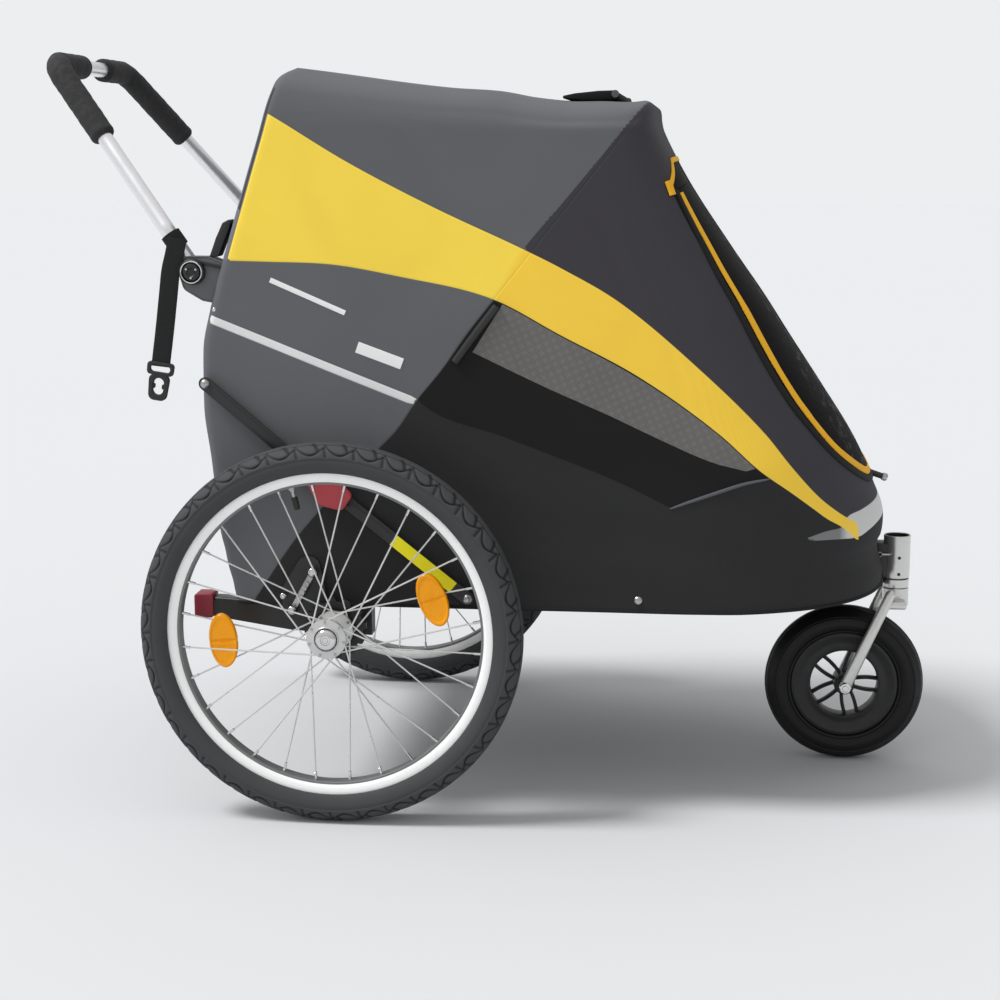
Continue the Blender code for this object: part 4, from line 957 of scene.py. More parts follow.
hem = [Vector((p[0], p[1], 0.2705)) for p in rows[0]]
cabin_piece(tube("cabin_hem", hem, 0.0022, trim_black, 8, closed=True), "tub_fabric")


def slope_ribbon(name, line, width, thickness, mat, lift, body):
    pairs = [on_front(p[0], p[1], lift) for p in line]
    piece = ribbon(name, [p for p, _ in pairs], [n for _, n in pairs], width, thickness, mat)
    return cabin_piece(piece, "mesh_fabric", body)


slope_ribbon("door_binding", door_outline(0.0055, 70), 0.0105, 0.0014, trim_yellow, 0.0004, "front_door")
slope_ribbon("doorway_binding", door_outline(-0.0050, 70), 0.0090, 0.0022, trim_black, 0.0001, "base")
tape = spaced([(0.2500, -0.0060), (0.2475, -0.0110), (0.2040, -0.0330)], 12)
tape = np.concatenate((tape, [(a, -0.0345) for a in np.linspace(0.196, -0.196, 40)], tape[::-1] * (-1, 1)))
slope_ribbon("header_binding", tape, 0.0070, 0.0016, trim_yellow, 0.0003, "base")
for side, sign in SIDES:
    slope_ribbon(f"header_tab_{side}", [(sign * 0.2530, -0.0160), (sign * 0.2535, -0.0080), (sign * 0.2545, 0.0020)],
                 0.0110, 0.0030, trim_yellow, 0.0006, "base")

for piece in soft_pieces:
    fold_flat(piece)


# ---------------------------------------------------------------- frame tubes


def mirrored_path(corners, radius, steps):
    other = [(x, -y, z) for x, y, z in reversed(corners)]
    return fillet([tuple(c) for c in corners] + other, radius, steps)


knees = [(FRAME_PIVOT[0] + 0.0012, RAIL_Y, FRAME_PIVOT[1] - 0.010), (-0.348, RAIL_Y, 0.559), (-0.337, RAIL_Y, 0.641),
         (-0.311, RAIL_Y, 0.713), (-0.246, RAIL_Y, 0.934)]
keep(tube("rear_frame_tube", mirrored_path(knees, 0.05, 10), 0.0108, black_metal), "rear_frame", "black_metal",
     "rear_frame")
low, high = Vector(HOOP_PIVOT), Vector(HOOP_TOP)
heading = (high - low).normalized()
hoop = []
for reach, y in ((-0.009, 0.2349), (0.055, 0.2349), (0.130, RAIL_Y)):
    point = low + heading * reach
    hoop.append((point.x, y, point.y))
hoop.append((high.x, RAIL_Y, high.y))
keep(tube("roof_hoop_tube", mirrored_path(hoop, 0.06, 10), 0.0108, black_metal), "roof_hoop", "black_metal",
     "roof_hoop")

handle_corners = [(-0.3678, 0.250, 0.6925), tuple(HANDLE_KNEE), tuple(HANDLE_CORNER)]
handle_path = mirrored_path(handle_corners, 0.035, 12)
keep(tube("handle_bar", handle_path, 0.0103, aluminium, 28), "handle", "aluminium", "handle_tube")
for side, sign in SIDES:
    start = HANDLE_KNEE.lerp(HANDLE_CORNER, 0.55)
    sleeve = fillet([start, HANDLE_CORNER, Vector((HANDLE_CORNER.x, 0.044, HANDLE_CORNER.z))], 0.035, 14)
    sleeve = [Vector((p.x, sign * p.y, p.z)) for p in sleeve]
    fine = [Vector(p) for p in spaced([tuple(p) for p in sleeve], 90)]
    radii = [0.0163 + 0.0003 * math.sin(0.9 * k) * math.sin(0.37 * k) for k in range(90)]
    radii[0] = radii[-1] = 0.0125
    radii[1] = radii[-2] = 0.0155
    ends = [fine[0] - (fine[1] - fine[0]) * 0.05] + fine + [fine[-1] + (fine[-1] - fine[-2]) * 0.05]
    grip = keep(tube(f"foam_grip_{side}", ends, [0.0106] + radii + [0.0106], foam, 28), "handle", "grip_foam",
                f"grip_{side}")


# ---------------------------------------------------------------- wheels


TREAD_BLOCKS = 40


def tread(turn, roll):
    """How far the tyre's surface stands out, and how deep in a groove it is, round the wheel and across its section."""
    phase = (turn * TREAD_BLOCKS / TAU) % 1.0
    lean = abs(roll)
    if lean > 1.45:
        return 0.0, 0.0
    scallop = 0.50 + 0.66 * abs(math.sin(math.pi * phase)) ** 0.8
    groove = math.exp(-(((lean - scallop) / 0.062) ** 2))
    ring = sum(math.exp(-(((lean - at) / 0.045) ** 2)) for at in (0.14, 0.42)) * 0.75
    cross_phase = (phase + 0.30 * lean * (1 if roll > 0 else -1)) % 1.0
    sipe = math.exp(-(((cross_phase - 0.5) / 0.07) ** 2)) * 0.8 * (1 if 0.2 < lean < scallop - 0.05 else 0)
    outer_phase = (phase + 0.5 + 0.12 * (lean - 1.1)) % 1.0
    notch = math.exp(-(((outer_phase - 0.5) / 0.06) ** 2)) * 0.7 * (1 if scallop + 0.05 < lean < 1.34 else 0)
    depth = min(groove + ring + sipe + notch, 1.0)
    return (0.0012 if lean < 1.36 else 0.0) - 0.0019 * depth, depth


def rear_tyre(side, sign):
    centre = Vector((AXLE.x, sign * AXLE.y, AXLE.z))
    middle, section = 0.2245, 0.0213
    around = TREAD_BLOCKS * 20
    rolls = list(np.linspace(-2.35, -1.45, 8)) + list(np.linspace(-1.4, 1.4, 57)) + list(np.linspace(1.45, 2.35, 8))
    points, grooves = [], []
    for i in range(around):
        turn = TAU * i / around
        c, s = math.cos(turn), math.sin(turn)
        for roll in rolls:
            rise, depth = tread(turn, roll)
            bead = 0.0006 * math.exp(-(((abs(roll) - 1.62) / 0.05) ** 2))
            reach = section + rise + bead
            radius = middle + reach * math.cos(roll)
            points.append((centre.x + radius * c, centre.y + sign * reach * 1.03 * math.sin(roll),
                           centre.z + radius * s))
            grooves.append(depth)
    faces = grid_faces(around, len(rolls), True, True)
    tyre = mesh_object(f"tread_tyre_{side}", points, faces, tyre_rubber, sharp=60)
    store(tyre, {"groove": np.array(grooves)})
    return tyre


def rear_rim(side, sign):
    centre = (AXLE.x, sign * AXLE.y, AXLE.z)
    half = [(0.2120, 0.0100), (0.2135, 0.0108), (0.2138, 0.0119), (0.2125, 0.0124), (0.2020, 0.0122), (0.2000, 0.0114),
            (0.1976, 0.0100), (0.1966, 0.0060)]
    profile = half + [(r, -h) for r, h in reversed(half)] + [(0.2060, -0.0080), (0.2060, 0.0080)]
    rim = turned("ring", profile, centre, rim_aluminium, 160, closed=True, sharp=25)
    well = [(0.1942, 0.0088), (0.1950, 0.0094), (0.1975, 0.0094), (0.1982, 0.0088)]
    well = turned("well", well + [(r, -h) for r, h in reversed(well)], centre, rim_well, 160, closed=True)
    rim = joined(f"rim_{side}", [rim, well])
    turn = math.radians(104)

    def along(radius):
        return Vector((centre[0] + radius * math.cos(turn), centre[1], centre[2] + radius * math.sin(turn)))

    nut = tube("nut", [along(0.1950), along(0.1915), along(0.1910), along(0.1890)], [0.0052, 0.0052, 0.0040, 0.0034],
               steel, 12)
    stem = tube("stem", [along(0.1900), along(0.1800)], 0.0024, steel, 12)
    cap = tube("cap", [along(0.1815), along(0.1805), along(0.1660), along(0.1650)], [0.0036, 0.0042, 0.0040, 0.0030],
               black_plastic, 12)
    return rim, joined(f"valve_{side}", [nut, stem, cap])


def wheel_point(centre, radius, angle, y):
    return Vector((centre.x + radius * math.cos(angle), centre.y + y, centre.z + radius * math.sin(angle)))


SPOKE_TURN = 0.112


# Where the spokes meet the hub, outward from the wheel's middle plane.
OUTER_FLANGE = 0.0264
INNER_FLANGE = -0.0195


def spokes(side, sign):
    centre = Vector((AXLE.x, sign * AXLE.y, AXLE.z))
    pitch = TAU / 14
    pieces = []
    for flange in (1, -1):
        for index in range(14):
            lean = 1 if index % 2 else -1
            rim_angle = pitch * (index + (0.5 if flange > 0 else 0.0)) - SPOKE_TURN
            hub_angle = rim_angle + lean * math.radians(62)
            inner = wheel_point(centre, 0.0228, hub_angle,
                                sign * ((OUTER_FLANGE if flange > 0 else INNER_FLANGE) + lean * 0.0018))
            outer = wheel_point(centre, 0.1950, rim_angle, sign * flange * 0.0025)
            along = (outer - inner).normalized()
            pieces.append(tube("spoke", [inner, outer], 0.0011, spoke_steel, 8))
            pieces.append(tube("nipple", [outer - along * 0.011, outer - along * 0.0105, outer - along * 0.001, outer],
                               [0.0013, 0.0019, 0.0019, 0.0023], chrome, 8))
            head = inner + Vector((0, sign * lean * 0.0022, 0))
            pieces.append(tube("spoke_head", [head - Vector((0, 0.0012, 0)), head + Vector((0, 0.0012, 0))], 0.0018,
                               steel, 8))
    return joined(f"spokes_{side}", pieces)


def hub(side, sign):
    centre = (AXLE.x, sign * AXLE.y, AXLE.z)
    inner = [(0.0166, 0.0300), (0.0185, 0.0266), (0.0232, 0.0242), (0.0250, 0.0234), (0.0256, 0.0222), (0.0256, 0.0180),
             (0.0248, 0.0168), (0.0215, 0.0160), (0.0155, 0.0140), (0.0125, 0.0110)]
    profile = [(0.0147, 0.0262), (0.0147, 0.0325), (0.0152, 0.0332), (0.0160, 0.0330), (0.0166, 0.0312),
               (0.0185, 0.0304), (0.0232, 0.0300), (0.0250, 0.0294), (0.0256, 0.0282), (0.0256, 0.0246),
               (0.0248, 0.0234), (0.0215, 0.0222), (0.0155, 0.0180), (0.0125, 0.0130), (0.0118, 0.0)]
    lower = [(r, -h) for r, h in reversed(inner)] + [(0.0150, -0.0278), (0.0085, -0.0284), (0.0060, -0.0290),
                                                            (0.0060, -0.0700), (0.0050, -0.0725), (0.0, -0.0725)]
    body = turned(f"hub_shell_{side}", profile + lower, centre, hub_metal, 64, sign=sign)
    seal = turned("seal", [(0.0144, 0.0262), (0.0144, 0.0312), (0.0149, 0.0312), (0.0149, 0.0262)], centre,
                  black_plastic, 48, sign=sign, closed=True)
    floor = turned("floor", [(0.0150, 0.0262), (0.0, 0.0262)], centre, black_plastic, 32, sign=sign)
    return joined(f"hub_body_{side}", [body, seal, floor])


def brake_ring(side, sign):
    """A toothed ring on the hub's inner end, which the parking brake's pin drops into."""
    centre = Vector((AXLE.x, sign * AXLE.y, AXLE.z))
    teeth, steps = 12, 8
    points = []
    for k in range(teeth * steps):
        turn = TAU * k / (teeth * steps)
        outer = 0.0405 if k % steps < steps // 2 else 0.0355
        for radius, inward in ((0.0200, -0.0292), (outer, -0.0292), (outer, -0.0372), (0.0200, -0.0372)):
            points.append(wheel_point(centre, radius, turn, sign * inward))
    ring = mesh_object("ring", points, grid_faces(teeth * steps, 4, True, True), black_plastic, False)
    web = turned("web", [(0.0062, -0.0288), (0.0210, -0.0288), (0.0210, -0.0300), (0.0062, -0.0300)], centre,
                 black_plastic, 32, sign=sign, closed=True)
    return joined(f"brake_ring_{side}", [bevelled(ring, 0.0006), web])


def release_button(side, sign):
    centre = (AXLE.x, sign * AXLE.y, AXLE.z)
    profile = [(0.0, 0.0372), (0.0030, 0.0371), (0.0038, 0.0362), (0.0056, 0.0361), (0.0066, 0.0378), (0.0096, 0.0374),
               (0.0124, 0.0358), (0.0138, 0.0335), (0.0140, 0.0296), (0.0, 0.0296)]
    return turned(f"quick_release_{side}", profile, centre, chrome, 48, sign=sign)


def reflector(name, sign, angle):
    """An amber lens with a moulded rim, prisms and the slot of the spoke that holds it."""
    centre = Vector((AXLE.x, sign * AXLE.y, AXLE.z))
    middle = wheel_point(centre, 0.140, angle, 0)
    along, across = Vector((-math.sin(angle), math.cos(angle))), Vector((math.cos(angle), math.sin(angle)))
    rings, around = 16, 72
    points, faces = [], []
    for face in (1, -1):
        for r in range(rings + 1):
            share = r / rings
            for k in range(around):
                turn = TAU * k / around
                u, v = 0.0355 * share * math.cos(turn), 0.0185 * share * math.sin(turn)
                prism = 0.0005 * math.cos(TAU * u / 0.0042) * math.cos(TAU * v / 0.0042) if share < 0.84 else 0.0
                rim = 0.0012 if share > 0.86 else 0.0
                drop = 0.0022 * max(share - 0.94, 0) / 0.06
                groove = -0.0012 if abs(u) < 0.0016 else 0.0
                y = face * (0.0030 + prism + rim + groove - drop)
                place = middle + Vector((along.x * u + across.x * v, y, along.y * u + across.y * v))
                points.append(place)
        first = (rings + 1) * around * (0 if face > 0 else 1)
        faces += [tuple(i + first for i in f) for f in grid_faces(rings + 1, around, False, True)]
    last = rings * around
    other = (rings + 1) * around + last
    for k in range(around):
        n = (k + 1) % around
        faces.append((last + k, last + n, other + n, other + k))
    lens = mesh_object(name, points, faces, amber, sharp=30)
    return lens


for side, sign in SIDES:
    body = f"rear_wheel_{side}"
    keep(rear_tyre(side, sign), body, "tyre_rubber", f"rear_tyre_{side}")
    rim, stem = rear_rim(side, sign)
    keep(rim, body, "aluminium", f"rear_rim_{side}")
    keep(stem, body, "tyre_rubber")
    keep(spokes(side, sign), body, "chrome", f"spoked_hub_{side}")
    keep(hub(side, sign), body, "chrome")
    keep(brake_ring(side, sign), body, "black_plastic")
    keep(release_button(side, sign), f"release_button_{side}", "chrome", f"release_button_{side}")
    for number, degrees in ((1, 185), (2, 20)):
        node = f"spoke_reflector_{side}_{number}"
        keep(reflector(f"amber_lens_{side}_{number}", sign, math.radians(degrees)), body, "amber_plastic", node)


def caster_wheel():
    half = [(0.0735, 0.0165), (0.0760, 0.0205), (0.0785, 0.0213), (0.0800, 0.0200), (0.0815, 0.0206), (0.0860, 0.0236),
            (0.0905, 0.0240), (0.0960, 0.0226), (0.0972, 0.0212), (0.0985, 0.0216), (0.1030, 0.0180), (0.1040, 0.0160),
            (0.1062, 0.0148), (0.1090, 0.0095), (0.1094, 0.0070), (0.1080, 0.0062), (0.1080, 0.0050), (0.1106, 0.0040)]
    profile = half + [(0.1110, 0.0)] + [(r, -h) for r, h in reversed(half)]
    return turned("caster_tread_tyre", profile, CASTER_AXLE, caster_rubber, 128, closed=True, sharp=35)


def caster_rim():
    """A moulded rim whose five pairs of curved arms meet at the hub."""
    ring_half = [(0.0470, 0.0120), (0.0480, 0.0150), (0.0500, 0.0160), (0.0560, 0.0135), (0.0600, 0.0140),
                 (0.0660, 0.0175), (0.0700, 0.0190), (0.0738, 0.0180)]
    pieces = [turned("ring", ring_half + [(r, -h) for r, h in reversed(ring_half)], CASTER_AXLE, black_plastic, 96,
                     closed=True)]
    hub_half = [(0.0056, 0.0232), (0.0120, 0.0232), (0.0140, 0.0215), (0.0150, 0.0120)]
    pieces.append(turned("core", hub_half + [(r, -h) for r, h in reversed(hub_half)], CASTER_AXLE, black_plastic, 48,
                         closed=True))
    for arm in range(5):
        middle = math.radians(72 * arm - 4)
        for lean in (1, -1):
            path = []
            for t in np.linspace(0, 1, 9):
                radius = 0.0135 + 0.0350 * t
                spread = lean * (0.0058 + 0.0028 * t + 0.0016 * math.sin(math.pi * t))
                path.append(wheel_point(CASTER_AXLE, radius, middle + spread / radius, 0))
            pieces.append(tube("arm", path, 0.0026, black_plastic, 12))
            pieces[-1].data.transform(Matrix.Diagonal((1, 2.8, 1, 1)))
    return joined("caster_arm_rim", pieces)


keep(caster_wheel(), "caster_wheel", "tyre_rubber", "caster_tyre")
keep(caster_rim(), "caster_wheel", "aluminium", "caster_rim")


def caster_fork():
    collar = [(0.0, 0.2240), (0.0172, 0.2240), (0.0180, 0.2250), (0.0180, 0.2488), (0.0172, 0.2498), (0.0100, 0.2500),
              (0.0100, 0.2840), (0.0, 0.2845)]
    pieces = [turned("collar", collar, (HEAD_X, 0, 0), silver_paint, 48, axis="z")]
    pieces.append(box("crown", (HEAD_X - 0.0165, -0.036, 0.2245), (HEAD_X + 0.0130, 0.036, 0.2350), silver_paint,
                      0.003))
    for sign in (1, -1):
        foot, top = Vector((CASTER_AXLE.x, CASTER_AXLE.z)), Vector((0.5430, 0.2470))
        along = (top - foot).normalized()
        across = Vector((-along.y, along.x))
        outline = [foot + across * 0.0082, top + across * 0.0072, top + along * 0.0070, top - across * 0.0072,
                   foot - across * 0.0082, foot - along * 0.0085]
        outline = fillet([tuple(p) for p in outline], 0.006, 5, True)
        pieces.append(plate("arm", outline, sign * 0.0292, sign * 0.0388, silver_paint, 0.0042))
    return joined("steel_fork", pieces)


keep(caster_fork(), "caster_fork", "silver_metal", "caster_fork")
for sign in (1, -1):
    profile = [(0.0, 0.0440), (0.0040, 0.0437), (0.0046, 0.0428), (0.0070, 0.0425), (0.0083, 0.0410), (0.0085, 0.0385),
               (0.0, 0.0385)]
    bolt = turned(f"caster_bolt_{'left' if sign > 0 else 'right'}", profile, CASTER_AXLE, chrome, 32, sign=sign)
    keep(bolt, "caster_fork", "steel", "caster_axle_bolt")


def head_tube():
    top = 0.3245
    profile = [(0.0166, top - 0.0006), (0.0172, top), (0.0180, top), (0.0185, top - 0.0008), (0.0185, 0.2652),
               (0.0180, 0.2646), (0.0172, 0.2644), (0.0172, 0.2628), (0.0180, 0.2624), (0.0180, 0.2516),
               (0.0174, 0.2508), (0.0106, 0.2508), (0.0106, 0.2860), (0.0166, 0.2864)]
    pieces = [turned("sleeve", profile, (HEAD_X, 0, 0), silver_paint, 56, axis="z", closed=True)]
    liner = [(0.0166, top - 0.0012), (0.0166, 0.2866), (0.0030, 0.2866), (0.0030, 0.2870), (0.0163, 0.2870),
             (0.0163, top - 0.0012)]
    pieces.append(turned("liner", liner, (HEAD_X, 0, 0), black_plastic, 48, axis="z", closed=True))
    pieces.append(turned("groove", [(0.0173, 0.2643), (0.0176, 0.2643), (0.0176, 0.2629), (0.0173, 0.2629)],
                         (HEAD_X, 0, 0), black_metal, 48, axis="z", closed=True))
    pieces.append(box("tongue", (0.435, -0.024, 0.2545), (0.5325, 0.024, 0.2690), black_metal, 0.002))
    pieces.append(box("lug", (0.5195, -0.015, 0.2655), (0.5385, 0.015, 0.3140), black_metal, 0.002))
    for z in (0.2945, 0.2712):
        spot = Vector((HEAD_X + 0.0020, -0.0184, z))
        pieces.append(tube("hole", [spot - Vector((0, 0.0004, 0)), spot + Vector((0, 0.002, 0))], 0.0023, black_plastic,
                           16))
    pin = Vector((0.5300, -0.0175, 0.2990))
    pieces.append(tube("pin", [pin, pin + Vector((0.0110, 0, 0))], 0.0016, steel, 12))
    loop = [pin + Vector((0.0032 * math.cos(TAU * k / 20) - 0.003, 0,
                          0.0032 * math.sin(TAU * k / 20))) for k in range(20)]
    pieces.append(tube("loop", loop, 0.0007, steel, 8, closed=True))
    return joined("head_sleeve", pieces)


keep(head_tube(), "base", "silver_metal", "head_tube")


# ---------------------------------------------------------------- brackets, braces, brake, strap


def bracket(side, sign):
    x, z = HANDLE_PIVOT.x, HANDLE_PIVOT.z
    outline = fillet([(x - 0.020, z + 0.006), (x - 0.012, z - 0.022), (x + 0.012, z - 0.036), (x + 0.036, z - 0.040),
                      (x + 0.044, z + 0.010), (x + 0.020, z + 0.019), (x - 0.010, z + 0.019)], 0.012, 8, True)
    cheeks = [plate("cheek", outline, sign * a, sign * b, bracket_plastic, 0.0015)
              for a, b in ((0.2325, 0.2375), (0.2613, 0.2670))]
    centre = (x, 0, z)
    boss = [(0.0125, 0.2660), (0.0125, 0.2702), (0.0130, 0.2755), (0.0152, 0.2762), (0.0163, 0.2750), (0.0166, 0.2700),
            (0.0168, 0.2640), (0.0125, 0.2640)]
    ring = turned("boss", boss, centre, black_plastic, 64, sign=sign, closed=True)
    chrome_ring = turned("ring", [(0.0124, 0.2752), (0.0130, 0.2768), (0.0142, 0.2772), (0.0148, 0.2762),
                                  (0.0140, 0.2750)],
                         centre, chrome, 64, sign=sign, closed=True)
    web = plate("web", fillet([(x + 0.0225, z - 0.034), (x + 0.036, z - 0.038), (x + 0.043, z + 0.008),
                               (x + 0.0225, z + 0.017)],
                              0.005, 4, True), sign * 0.2375, sign * 0.2613, bracket_plastic, 0.001)
    lip = tube("lip", [Vector((p.x, sign * 0.2665, p.y)) for p in outline], 0.0012, bracket_plastic, 8, closed=True)
    a, b = Vector((x + 0.0090, z + 0.0125)), Vector((x + 0.0440, z + 0.0045))
    bar = plate("bar", capsule(a, b, 0.0021, 6), sign * 0.2660, sign * 0.2700, black_plastic, 0.0006)
    wing = [(0.0200, 0.0165), (0.0230, 0.0240), (0.0300, 0.0430), (0.0390, 0.0620), (0.0520, 0.0690), (0.0480, 0.0560),
            (0.0331, 0.0196)]
    wing = [(x + a, z + b) for a, b in wing]
    wing = plate("wing", fillet(wing, 0.003, 4, True), sign * 0.2400, sign * 0.2640, black_plastic, 0.0012)
    return joined(f"bracket_shell_{side}", cheeks + [ring, chrome_ring, web, lip, bar, wing])


def angle_button(side, sign):
    centre = (HANDLE_PIVOT.x, 0, HANDLE_PIVOT.z)
    profile = [(0.0, 0.2766), (0.0045, 0.2766), (0.0062, 0.2782), (0.0100, 0.2776), (0.0110, 0.2762),
               (0.0112, 0.2735), (0.0, 0.2735)]
    button = turned("cap", profile, centre, black_plastic, 48, sign=sign)
    pieces = [button]
    for k in range(3):
        angle = TAU * k / 3 + 0.5
        spot = Vector((centre[0] + 0.0072 * math.cos(angle), sign * 0.2779, centre[2] + 0.0072 * math.sin(angle)))
        pieces.append(tube("dot", [spot - Vector((0, 0.0006, 0)), spot + Vector((0, 0.0006, 0))], 0.0014, chrome, 12))
    return joined(f"angle_button_{side}", pieces)


def strut(name, start, end, y, sign, mat, extra=()):
    body = plate(name, capsule(start, end, 0.0085, 10), sign * (y - 0.002), sign * (y + 0.002), mat, 0.0008)
    ridge = plate("ridge", capsule(start.lerp(end, 0.08), end.lerp(start, 0.08), 0.0045, 8), sign * (y + 0.0018),
                  sign * (y + 0.0028), mat, 0.0006)
    return joined(name, [body, ridge] + list(extra))


def domed(name, place, y, sign, radius, height, mat=None):
    profile = [(0.0, y + height), (radius * 0.5, y + height * 0.85), (radius * 0.85, y + height * 0.45), (radius, y),
               (0.0, y - 0.003)]
    return turned(name, profile, (place[0], 0, place[1]), mat or steel, 32, sign=sign)


for side, sign in SIDES:
    keep(bracket(side, sign), "rear_frame", "black_bracket", f"handle_bracket_{side}")
    keep(angle_button(side, sign), f"handle_button_{side}", "grey_plastic", f"handle_button_{side}")
    keep(strut(f"strut_upper_{side}", BRACE_TOP, BRACE_MID, 0.2888, sign, black_metal), f"brace_upper_{side}",
         "black_metal", f"brace_upper_{side}")
    a, b = BRACE_MID.lerp(BRACE_BOTTOM, 0.43), BRACE_MID.lerp(BRACE_BOTTOM, 0.89)
    across = Vector((-(b - a).y, (b - a).x)).normalized() * 0.0078
    strip = plate("strip", [a + across, a - across, b - across, b + across], sign * 0.2866, sign * 0.2872,
                  label_yellow, 0)
    keep(strut(f"strut_lower_{side}", BRACE_BOTTOM, BRACE_MID, 0.2838, sign, black_metal, (strip,)),
         f"brace_lower_{side}", "black_metal", f"brace_lower_{side}")
    keep(domed(f"bolt_upper_{side}", BRACE_TOP, 0.2912, sign, 0.0062, 0.0045), "rear_frame", "steel",
         f"brace_bolt_upper_{side}")
    keep(domed(f"bolt_lower_{side}", BRACE_BOTTOM, 0.2862, sign, 0.0062, 0.0045), "base", "steel",
         f"brace_bolt_lower_{side}")

    down = (BRACE_MID - BRACE_TOP).normalized()
    out = Vector((-down.y, down.x))
    at = BRACE_TOP.lerp(BRACE_MID, 0.80)
    red = fillet([at + out * 0.018, at - out * 0.010, at + down * 0.034 - out * 0.024, at + down * 0.062 - out * 0.010,
                  at + down * 0.060 + out * 0.016], 0.007, 6, True)
    lever = plate(f"red_latch_{side}", red, sign * 0.2914, sign * 0.2984, red_plastic, 0.002)
    keep(lever, f"lock_lever_{side}", "red_plastic", f"lock_lever_{side}")

    arm = box(f"arm_tube_{side}", (-0.355, min(sign * 0.2505, sign * 0.2745), 0.2500),
              (-0.15, max(sign * 0.2505, sign * 0.2745), 0.2697),
              black_metal, 0.002)
    shear = Matrix.Identity(4)
    shear[2][0] = -0.055
    arm.data.transform(Matrix.Translation((-0.25, 0, 0)) @ shear @ Matrix.Translation((0.25, 0, 0)))
    cap = plate("cap",
                fillet([(-0.381, 0.2480), (-0.3555, 0.2480), (-0.3555, 0.2800), (-0.381, 0.2800)], 0.004, 5, True),
                sign * 0.2475, sign * 0.2775, dark_red_plastic, 0.0015)
    keep(cap, "base", "red_plastic", f"arm_end_cap_{side}")
    keep(arm, "base", "black_metal")

    top, foot = Vector((-0.2195, 0.3150)), Vector((-0.2475, 0.2645))
    pieces = [plate("lever", capsule(foot, top, 0.0042, 8), sign * 0.2815, sign * 0.2860, steel, 0.001)]
    for end, size in ((top, 0.0072), (foot, 0.0068), (Vector((-0.2590, 0.2830)), 0.0050)):
        ball = [(size * math.sin(math.pi * k / 12), 0.2885 + size * math.cos(math.pi * k / 12)) for k in range(13)]
        pieces.append(turned("ball", ball, (end.x, 0, end.y), chrome, 24, sign=sign))
    for k in range(5):
        spot = foot.lerp(top, 0.25 + 0.11 * k)
        place = Vector((spot.x, sign * 0.2875, spot.y))
        pieces.append(tube("coil", [place - Vector((0, sign * 0.003, 0)), place + Vector((0, sign * 0.002, 0))], 0.0036,
                           steel, 12))
    keep(joined(f"parking_lever_{side}", pieces), f"brake_lever_{side}", "steel", f"brake_lever_{side}")


def wrist_strap():
    line = spaced([(-0.3915, 0.7420), (-0.3960, 0.7220), (-0.4015, 0.7000), (-0.4055, 0.6700), (-0.4110, 0.6300),
                   (-0.4170, 0.5900), (-0.4185, 0.5780)], 40)
    path = [Vector((p[0], STRAP_Y - 0.0022 - 0.0010 * math.sin(5.0 * k / 39 + 0.4) * k / 39, p[1]))
            for k, p in enumerate(line)]
    return ribbon("strap_webbing", path, [Vector((0, -1, 0))] * len(path), 0.0245, 0.0014, webbing)


def strap_buckle():
    down = Vector((-0.147, -0.989)).normalized()
    across = Vector((-down.y, down.x))
    y0, y1 = STRAP_Y + 0.0002, STRAP_Y - 0.0054

    def ring_plate(name, start, end, w_start, w_end, hole, radius):
        outer = fillet([start + across * w_start, start - across * w_start, end - across * w_end, end + across * w_end],
                       radius, 6, True)
        body = plate(name, outer, y0, y1, black_plastic, 0)
        a, b, w = hole
        window = plate("window", capsule(a, b, w, 8), y0 + 0.01, y1 - 0.01, None, 0)
        return bevelled(cut(body, window), 0.0007)

    foot = STRAP_FOOT - down * 0.0037
    loop = ring_plate("bar", foot, foot + down * 0.0170, 0.0180, 0.0172,
                      (foot + down * 0.0085 - across * 0.0088, foot + down * 0.0085 + across * 0.0088, 0.0043), 0.005)
    body = ring_plate("prongs", foot + down * 0.0155, foot + down * 0.0500, 0.0142, 0.0118,
                      (foot + down * 0.0275, foot + down * 0.0355, 0.0070), 0.008)
    nubs = [plate("nub", capsule(foot + down * 0.0300 + across * (0.0062 * k),
                                 foot + down * 0.0330 + across * (0.0062 * k), 0.0018, 6),
                  y0 - 0.0008, y1 + 0.0008, black_plastic, 0.0005) for k in (1, -1)]
    return joined("buckle_frame", [loop, body, *nubs])


keep(wrist_strap(), "strap", "webbing", "wrist_strap")
keep(strap_buckle(), "strap", "black_plastic", "strap_buckle")
low = Vector((HANDLE_PIVOT.x, -HANDLE_PIVOT.y, HANDLE_PIVOT.z))
knee = Vector((HANDLE_KNEE.x, -HANDLE_KNEE.y, HANDLE_KNEE.z))
heading = (knee - low).normalized()
anchor = low + heading * (STRAP_ANCHOR - HANDLE_PIVOT.xz).length
band = tube("strap_band", [anchor + heading * (0.0105 * t) for t in (-1, -0.96, 0.96, 1)],
            [0.0118, 0.0132, 0.0132, 0.0118],
            webbing, 28)
keep(band, "handle", "webbing", "strap_loop")


# ---------------------------------------------------------------- small pieces on the cabin

stub = tube("nose_stub", [Vector((0.508, 0, 0.4135)), Vector((0.529, 0, 0.4065))], 0.0042, black_plastic, 16)
tip = tube("nose_stub_tip", [Vector((0.5285, 0, 0.4067)), Vector((0.5330, 0, 0.4052)), Vector((0.5350, 0, 0.4045))],
           [0.0056, 0.0056, 0.0040], steel, 16)
fold_flat(keep(joined("nose_peg", [stub, tip]), "base", "tub_fabric"))
for side, sign in SIDES:
    place, _ = on_flank(0.201, 0.285, sign)
    keep(domed(f"cloth_bolt_{side}", (0.201, 0.285), abs(place.y) - 0.0004, sign, 0.0060, 0.0035), "base", "steel")
    place, normal = on_flank(-0.3440, 0.6525, sign)
    rivet = domed(f"cloth_rivet_{side}", (-0.3440, 0.6525), abs(place.y) - 0.0006, sign, 0.0030, 0.0016, chrome)
    fold_flat(keep(rivet, "base", "steel"))

